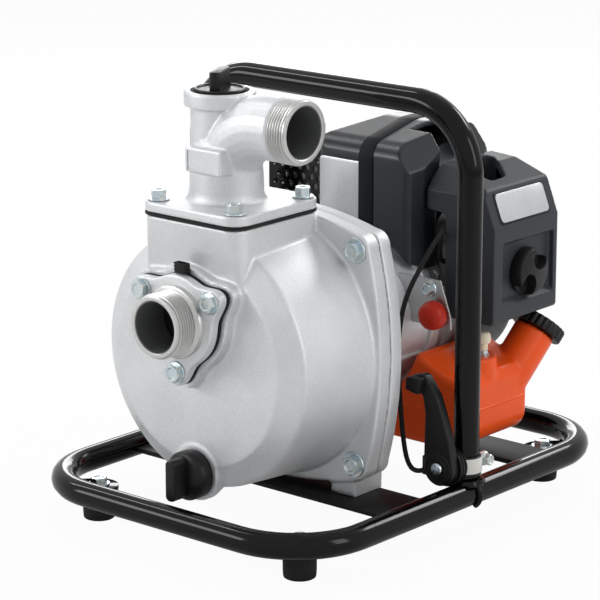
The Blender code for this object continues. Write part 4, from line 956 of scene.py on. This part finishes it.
def build_guard():
    """Bent sheet round the muffler, pierced with staggered rows of round holes."""
    bent = [(-0.051, 0.0585), (-0.051, 0.06), (-0.106, 0.06), (-0.106, 0.126), (-0.1075, 0.126),
            (-0.1075, 0.0585)]
    sheet = slab(facing_up(bent, 0.192), Z * 0.07)
    pins = []
    radius, pitch, row_height = 0.0025, 0.0082, 0.0072
    for row in range(9):
        z = 0.1985 + row_height * row
        shift = pitch / 2 * (row % 2)
        pins += [bar(radius, -0.07, -0.05, (-0.1009 + pitch * k + shift, 0, z), -Y, 14) for k in range(6)]
        pins += [bar(radius, 0.095, 0.115, (0, 0.069 + pitch * k + shift, z), -X, 14) for k in range(7)]
    cut(sheet, together(*pins))
    dress(sheet, "pierced_guard", PAINT, "muffler_guard")


def build_filter():
    """Faceted grey cover with a wing over the carburettor, a roof vent and a knob in a recess."""
    outline = rounded([(0.072, 0.146), (0.118, 0.146), (0.118, 0.22), (0.107, 0.248), (0.082, 0.26),
                       (0.057, 0.262), (0.054, 0.25), (0.054, 0.228), (0.072, 0.226)],
                      [0.005, 0.004, 0.005, 0.005, 0.008, 0.004, 0.003, 0.003, 0.003])
    cover = slab(facing_front(outline, 0.136), -Y * 0.081)
    slopes = [(0.05, 0.14), (0.14, 0.14), (0.14, 0.24), (0.124, 0.27), (0.0743, 0.27),
              (0.05, 0.2357)]
    with_tool(cover, [slab(facing_right(slopes, 0.045), X * 0.08)], "INTERSECT")
    inside = [(0.06, 0.15), (0.106, 0.15), (0.106, 0.218), (0.101, 0.243), (0.08, 0.253), (0.076, 0.252),
              (0.076, 0.222), (0.06, 0.222)]
    recess = [(0.113, 0.164), (0.113, 0.206), (0.118, 0.208), (0.13, 0.208), (0.13, 0.147)]
    vent = rounded([(0.064, 0.074), (0.099, 0.074), (0.097, 0.096), (0.064, 0.12)], 0.006)
    cut(cover, slab(facing_front(inside, 0.128), -Y * 0.064), slab(facing_up(vent, 0.24), Z * 0.035),
        slab(facing_front(recess, 0.131), -Y * 0.064), bar(0.0042, 0.098, 0.13, (0, *KNOB_AT.yz), X, 32))
    as_casting([cover], 0.0008, 4)
    dress(cover, "filter_shell", GREY, "air_filter_cover", angle=50)

    middle = Vector((0.1125, 0.096, 0.234))
    up, out = Vector((-0.3656, 0, 0.9308)), Vector((0.9308, 0, 0.3656))
    for name, wide, high, low, top, finish in (
            ("plate_seat", 0.0318, 0.0128, 0.001, 0.0004, BLACK),
            ("bare_filter_plate", 0.03, 0.0112, 0.0002, 0.0009, PLATE)):
        edge = rounded_rectangle((-wide, wide), (-high, high), 0.0035)
        plate = slab([middle + Y * a + up * b - out * low for a, b in edge], out * (low + top))
        dress(soften(plate, 0.0002, 2, 60), name, finish, slot="air_filter_cover")

    knob = turned([(0, -0.009), (0.0034, -0.009), (0.0034, 0), (0.0172, 0), (0.018, 0.0008), (0.018, 0.0088),
                   (0.0172, 0.0102), (0.0155, 0.011), (0, 0.011)], KNOB_AT, X, 64)
    for side in (-1, 1):
        cut(knob, bar(0.0085, 0.003, 0.02, KNOB_AT + Vector((0, 0.595, 0.804)) * 0.0115 * side, X, 40))
    dress(soften(knob, 0.0007, 2, 50), "knob_with_finger_hollows", BLACK, "filter_knob")


def build_starter():
    """Recoil starter cover with air slots round its back, a rope outlet and its grip."""
    centre = (0, 0, AXIS_Z)
    cup = turned([(0, -0.172), (0.044, -0.172), (0.05, -0.1708), (0.0556, -0.1672), (0.059, -0.162),
                  (0.06, -0.157), (0.06, -0.1183), (0.057, -0.1183), (0.057, -0.156), (0.054, -0.164),
                  (0.045, -0.167), (0, -0.167)], centre, -Y, 96)
    slots = []
    edge = rounded_rectangle((0.02, 0.044), (-0.0024, 0.0024), 0.0023, 4)
    for k in range(12):
        out, side = spokes(math.tau * (k + 0.5) / 12)
        slots.append(slab([Vector((0, 0.16, AXIS_Z)) + out * a + side * b for a, b in edge], Y * 0.02))
    cut(cup, together(*slots))
    spout = turned([(0.0036, 0.056), (0.012, 0.056), (0.0112, 0.064), (0.0104, 0.0712), (0.0096, 0.072),
                    (0.0036, 0.072), (0.0036, 0.056)], ROPE_OUTLET, -X, 48)
    rings = []
    for r in (0.015, 0.0465):
        rings.append(turned([(r - 0.0008, -0.1722), (r + 0.0008, -0.1722), (r + 0.0006, -0.1728),
                             (r - 0.0006, -0.1728), (r - 0.0008, -0.1722)], centre, -Y, 72))
    dress(together(cup, spout, *rings), "starter_cover", BLACK, "starter_housing")
    grip = turned([(0, 0.0723), (0.0052, 0.0723), (0.006, 0.073), (0.0066, 0.0765), (0.008, 0.08),
                   (0.0078, 0.088), (0.0075, 0.0955), (0.0062, 0.0995), (0.004, 0.1018), (0, 0.102)],
                  ROPE_OUTLET, -X, 48)
    dress(grip, "starter_handle", BLACK, "starter_grip")


# Fuel system

def build_fuel():
    """Saddle tank with its cap, nipples and hose, and the carburettor with its bulb."""
    outline = [(-0.096, 0.114)] + arc((-0.084, 0.062), 0.012, 180, 270, 6)
    outline += arc((0.092, 0.066), 0.016, 270, 360, 8)
    outline += [(0.108, 0.098), (0.104, 0.106), (0.084, 0.113)] + arc((0, AXIS_Z), 0.066, 345, 200, 24)
    body = soften(slab(facing_front(outline, 0.116), -Y * 0.086), 0.006, 4, 60)
    neck = turned([(0, 0), (0.0165, 0), (0.0165, 0.0552), (0.0158, NECK_LENGTH), (0, NECK_LENGTH)],
                  NECK_FOOT, NECK_AXIS, 56)
    platform = turned([(0, 0.098), (0.0168, 0.098), (0.016, 0.1156), (0.015, 0.1166), (0, 0.1166)],
                      (0.0912, 0.07, 0), Z, 48)
    tank = as_casting([body, neck, platform], 0.0012, 7)
    cut_dense(tank, bar(0.013, 0.03, 0.08, NECK_FOOT, NECK_AXIS, 40))
    seam = rounded_rectangle((-0.0955, 0.1075), (0.0303, 0.1157), 0.008)
    seam = tube(facing_up(seam, 0.079), 0.001, True, 3)
    dress(together(tank, seam), "tank_shell", ORANGE, "fuel_tank", angle=50)

    top = NECK_FOOT + NECK_AXIS * NECK_LENGTH
    side = across(NECK_AXIS)
    other = NECK_AXIS.cross(side)
    rim = []
    ribs, steps = 24, 192
    for k in range(steps):
        turn = math.tau * k / steps
        reach = 0.0215 - 0.0009 * (0.5 - 0.5 * math.cos(ribs * turn)) ** 2
        rim.append(top + NECK_AXIS * GAP + (side * math.cos(turn) + other * math.sin(turn)) * reach)
    cap = soften(slab(rim, NECK_AXIS * 0.0097), 0.0011, 3, 60)
    stem = bar(0.0122, -0.012, 0.002, top, NECK_AXIS, 40)
    dress(together(cap, stem), "ribbed_fuel_cap", BLACK, "fuel_cap")

    block_low, block_high = (0.0485, BARREL_Y - 0.016, 0.163), (0.069, BARREL_Y + 0.016, 0.196)
    carburettor = soften(block(block_low, block_high), 0.0025, 3)
    bowl_x = 0.06
    bowl = turned([(0, 0.144), (0.0098, 0.144), (0.0105, 0.1448), (0.0105, 0.156), (0.0112, 0.1565),
                   (0.0112, 0.159), (0.0105, 0.1595), (0.0105, 0.164), (0, 0.164)],
                  (bowl_x, BARREL_Y, 0), Z, 48)
    weld(carburettor, bowl, bar(0.011, 0.0443, bowl_x, (0, BARREL_Y, 0.2), X, 40))
    cut(carburettor, bar(0.0085, 0.14, 0.149, (bowl_x, BARREL_Y, 0), Z, 32))
    dress(carburettor, "carburettor_body", ENGINE_CAST, "carburettor")
    bulb = turned([(0, 0), (0.008, 0), (0.0081, 0.001), (0.008, 0.0022), (0.0072, 0.005), (0.0058, 0.0067),
                   (0.0035, 0.008), (0, 0.0085)], (bowl_x, BARREL_Y, 0.1437), -Z, 40)
    dress(bulb, "priming_bulb", CREAM, "primer_bulb")
    hose = [(0.09, 0.064, 0.117), (0.0895, 0.0645, 0.123), (0.088, 0.067, 0.133),
            (0.082, 0.076, 0.142), (0.0745, 0.085, 0.149), (0.0708, 0.09, 0.154)]
    dress(tube(smooth_route(hose, 40), 0.0028, rounds=5), "fuel_hose", RUBBER, slot="fuel_tank")
    for k, at in enumerate(NIPPLES, 1):
        nipple = turned([(0, 0), (0.0046, 0), (0.0046, 0.0022), (0.0036, 0.0026), (0.0036, 0.005),
                         (0.0028, 0.0056), (0, 0.0058)], at, Z, 32)
        dress(nipple, "tank_nipple_%d" % k, ZINC, slot="fuel_tank")
    breather = turned([(0, 0.005), (0.0032, 0.005), (0.0032, 0.01), (0.005, 0.0112), (0.0056, 0.014),
                       (0.0052, 0.0172), (0.0036, 0.0192), (0, 0.02)], NIPPLES[1], Z, 40)
    dress(breather, "tank_breather", CREAM, slot="fuel_tank")


# Controls

def build_stop_switch():
    """Sheet bracket with its screw and the red stop button."""
    outline = [(0.095, 0.144), (0.0945, 0.154), (0.0848, 0.1808), (0.045, 0.1808)]
    outline += arc((0, AXIS_Z), 0.0583, 42, 4, 16)
    sheet = slab(facing_front(outline, 0.0346), -Y * 0.0016)
    cut(sheet, bar(0.0052, -0.05, -0.02, (STOP_BUTTON.x, 0, STOP_BUTTON.z), -Y, 32))
    dress(soften(sheet, 0.0004, 2, 50), "stop_switch_plate", STEEL, "stop_bracket")
    screw = bolt((0.0753, 0.033, 0.1736), -Y, 0.005, 0.0062, 0.3)
    dress(screw, "bracket_screw", ZINC, slot="stop_bracket")
    stem = bar(0.0046, -0.0085, 0.0038, STOP_BUTTON, -Y, 32)
    dress(stem, "stop_button_stem", BLACK, slot="stop_button")
    button = turned([(0, 0.0035), (0.0098, 0.0035), (0.0108, 0.0042), (0.0111, 0.0064), (0.0109, 0.0096),
                     (0.01, 0.0124), (0.0082, 0.0144), (0.0055, 0.0156), (0.0026, 0.016), (0, 0.0161)],
                    STOP_BUTTON, -Y, 56)
    dress(button, "red_stop_button", RED, "stop_button", angle=60)


def build_throttle():
    """Thumb lever on the hoop leg: clamp, stacked discs, hooked lever with raised rims and its screw."""
    leg, axle = (HOOP_RIGHT, HOOP_Y, 0), (LEVER_PIVOT.x, 0, LEVER_PIVOT.z)
    thick = 0.008
    face = LEVER_PIVOT - Y * thick
    clamp = turned([(0.01015, 0.047), (0.0108, 0.047), (0.0113, 0.0475), (0.0113, 0.0615), (0.0108, 0.062),
                    (0.01015, 0.062), (0.01015, 0.047)], leg, Z, 56)
    discs = turned([(0, 0.004), (0.0152, 0.004), (0.0157, 0.0045), (0.0157, 0.006), (0.0149, 0.0063),
                    (0.0149, 0.007), (0.0157, 0.0073), (0.0157, 0.009), (0.0149, 0.0093), (0.0149, 0.01),
                    (0.0157, 0.0103), (0.0157, 0.0117), (0.0153, 0.012), (0, 0.012)], axle, -Y, 56)
    cut(discs, bar(0.01015, 0.03, 0.08, leg, Z, 56), bar(0.0028, 0.0, 0.03, axle, -Y, 24))
    stop = soften(block((0.1042, -0.012, 0.044), (0.118, -0.0045, 0.059)), 0.001, 2)
    dress(together(clamp, discs, stop), "throttle_clamp", BLACK, "throttle_bracket")
    band = turned([(0.011, 0.0492), (0.0117, 0.0494), (0.0119, 0.0499), (0.0119, 0.0603), (0.0117, 0.0608),
                   (0.011, 0.061), (0.011, 0.0492)], leg, Z, 56)
    dress(band, "clamp_band", OFF_WHITE, slot="throttle_bracket")
    lug = soften(block((0.1335, 0.015, 0.05), (0.1375, 0.0255, 0.06)), 0.0008, 2)
    dress(lug, "clamp_lug", OFF_WHITE, slot="throttle_bracket")
    screw = bolt((0.1375, 0.0212, 0.0552), X, 0.0044, 0.0052)
    dress(screw, "clamp_screw", ZINC, slot="throttle_bracket")

    hub = arc((0, 0), 0.0135, 180, 375, 24)
    radii = [0, 0.004, 0.01, 0.008, 0.005, 0.0015, 0.0015, 0.003, 0.01, 0]
    edge = hub[1:-1] + rounded([hub[-1]] + LEVER_EDGE + [hub[0]], radii, 5)
    edge = [(LEVER_PIVOT.x + a, b) for a, b in edge]
    lever = slab(facing_front(edge, LEVER_PIVOT.y, LEVER_PIVOT.z), -Y * thick)
    soften(lever, 0.001, 3, 40)
    thumb = rounded([(-0.0268, 0.0572), (-0.015, 0.0548), (-0.0125, 0.068), (-0.0262, 0.0668)], 0.0015, 4)
    thumb = [(LEVER_PIVOT.x + a, b) for a, b in thumb]
    pad = slab(facing_front(thumb, LEVER_PIVOT.y + 0.002, LEVER_PIVOT.z), -Y * 0.016)
    cut(lever, bar(0.0028, 0.0, 0.05, axle, -Y, 24))
    rims = turned([(0.006, -0.001), (0.0122, -0.001), (0.0122, 0.0006), (0.0117, 0.0011), (0.01, 0.0011),
                   (0.0096, 0.0004), (0.008, 0.0004), (0.0076, 0.0008), (0.006, 0.0008), (0.006, -0.001)],
                  face, -Y, 64)
    dress(together(lever, soften(pad, 0.001, 3, 40), rims), "thumb_lever", BLACK, "throttle_lever")
    screw = turned([(0, -0.011), (0.0024, -0.011), (0.0024, 0.0003), (0.0048, 0.0003), (0.005, 0.0006),
                    (0.005, 0.0018), (0.0043, 0.0028), (0.0026, 0.0033), (0, 0.0034)], face, -Y, 48)
    for wide, high in ((0.003, 0.0005), (0.0005, 0.003)):
        cut(screw, block(face + Vector((-wide, -0.006, -high)), face + Vector((wide, -0.002, high))))
    dress(screw, "lever_pivot_screw", ZINC, "lever_screw")


def build_cable():
    """Throttle cable from the lever's clamp to the carburettor, along the same points as its solid."""
    route = smooth_route(CABLE_ROUTE, 100)
    length = sum((b - a).length for a, b in zip(route, route[1:]))
    cable = dress(tube(route, 0.0019, rounds=4), "throttle_cable_sheath", RUBBER, "throttle_cable")


def finish_solids():
    """Finishes for the solids that are shown as they were packed."""
    # the volute gets the dark inner metal: painted shade inside the casing
    for node, finish in (("casing_gasket", PAPER), ("impeller", ALUMINIUM), ("volute", PAINTED_SHADE_METAL),
                         ("mechanical_seal", STEEL), ("crankshaft", STEEL), ("flywheel", ENGINE_CAST),
                         ("check_valve_flap", RUBBER), ("muffler", STEEL), ("spark_plug", OFF_WHITE)):
        solid = frame["nodes"][node]
        solid.data.materials.clear()
        solid.data.materials.append(finish)


def main():
    for build in (build_stage, build_frame, build_bolts, build_casing, build_suction, build_elbow,
                  build_caps, build_pump_back, build_engine, build_top_cover, build_guard, build_filter,
                  build_starter, build_fuel, build_stop_switch, build_throttle, build_cable, finish_solids):
        build()


main()
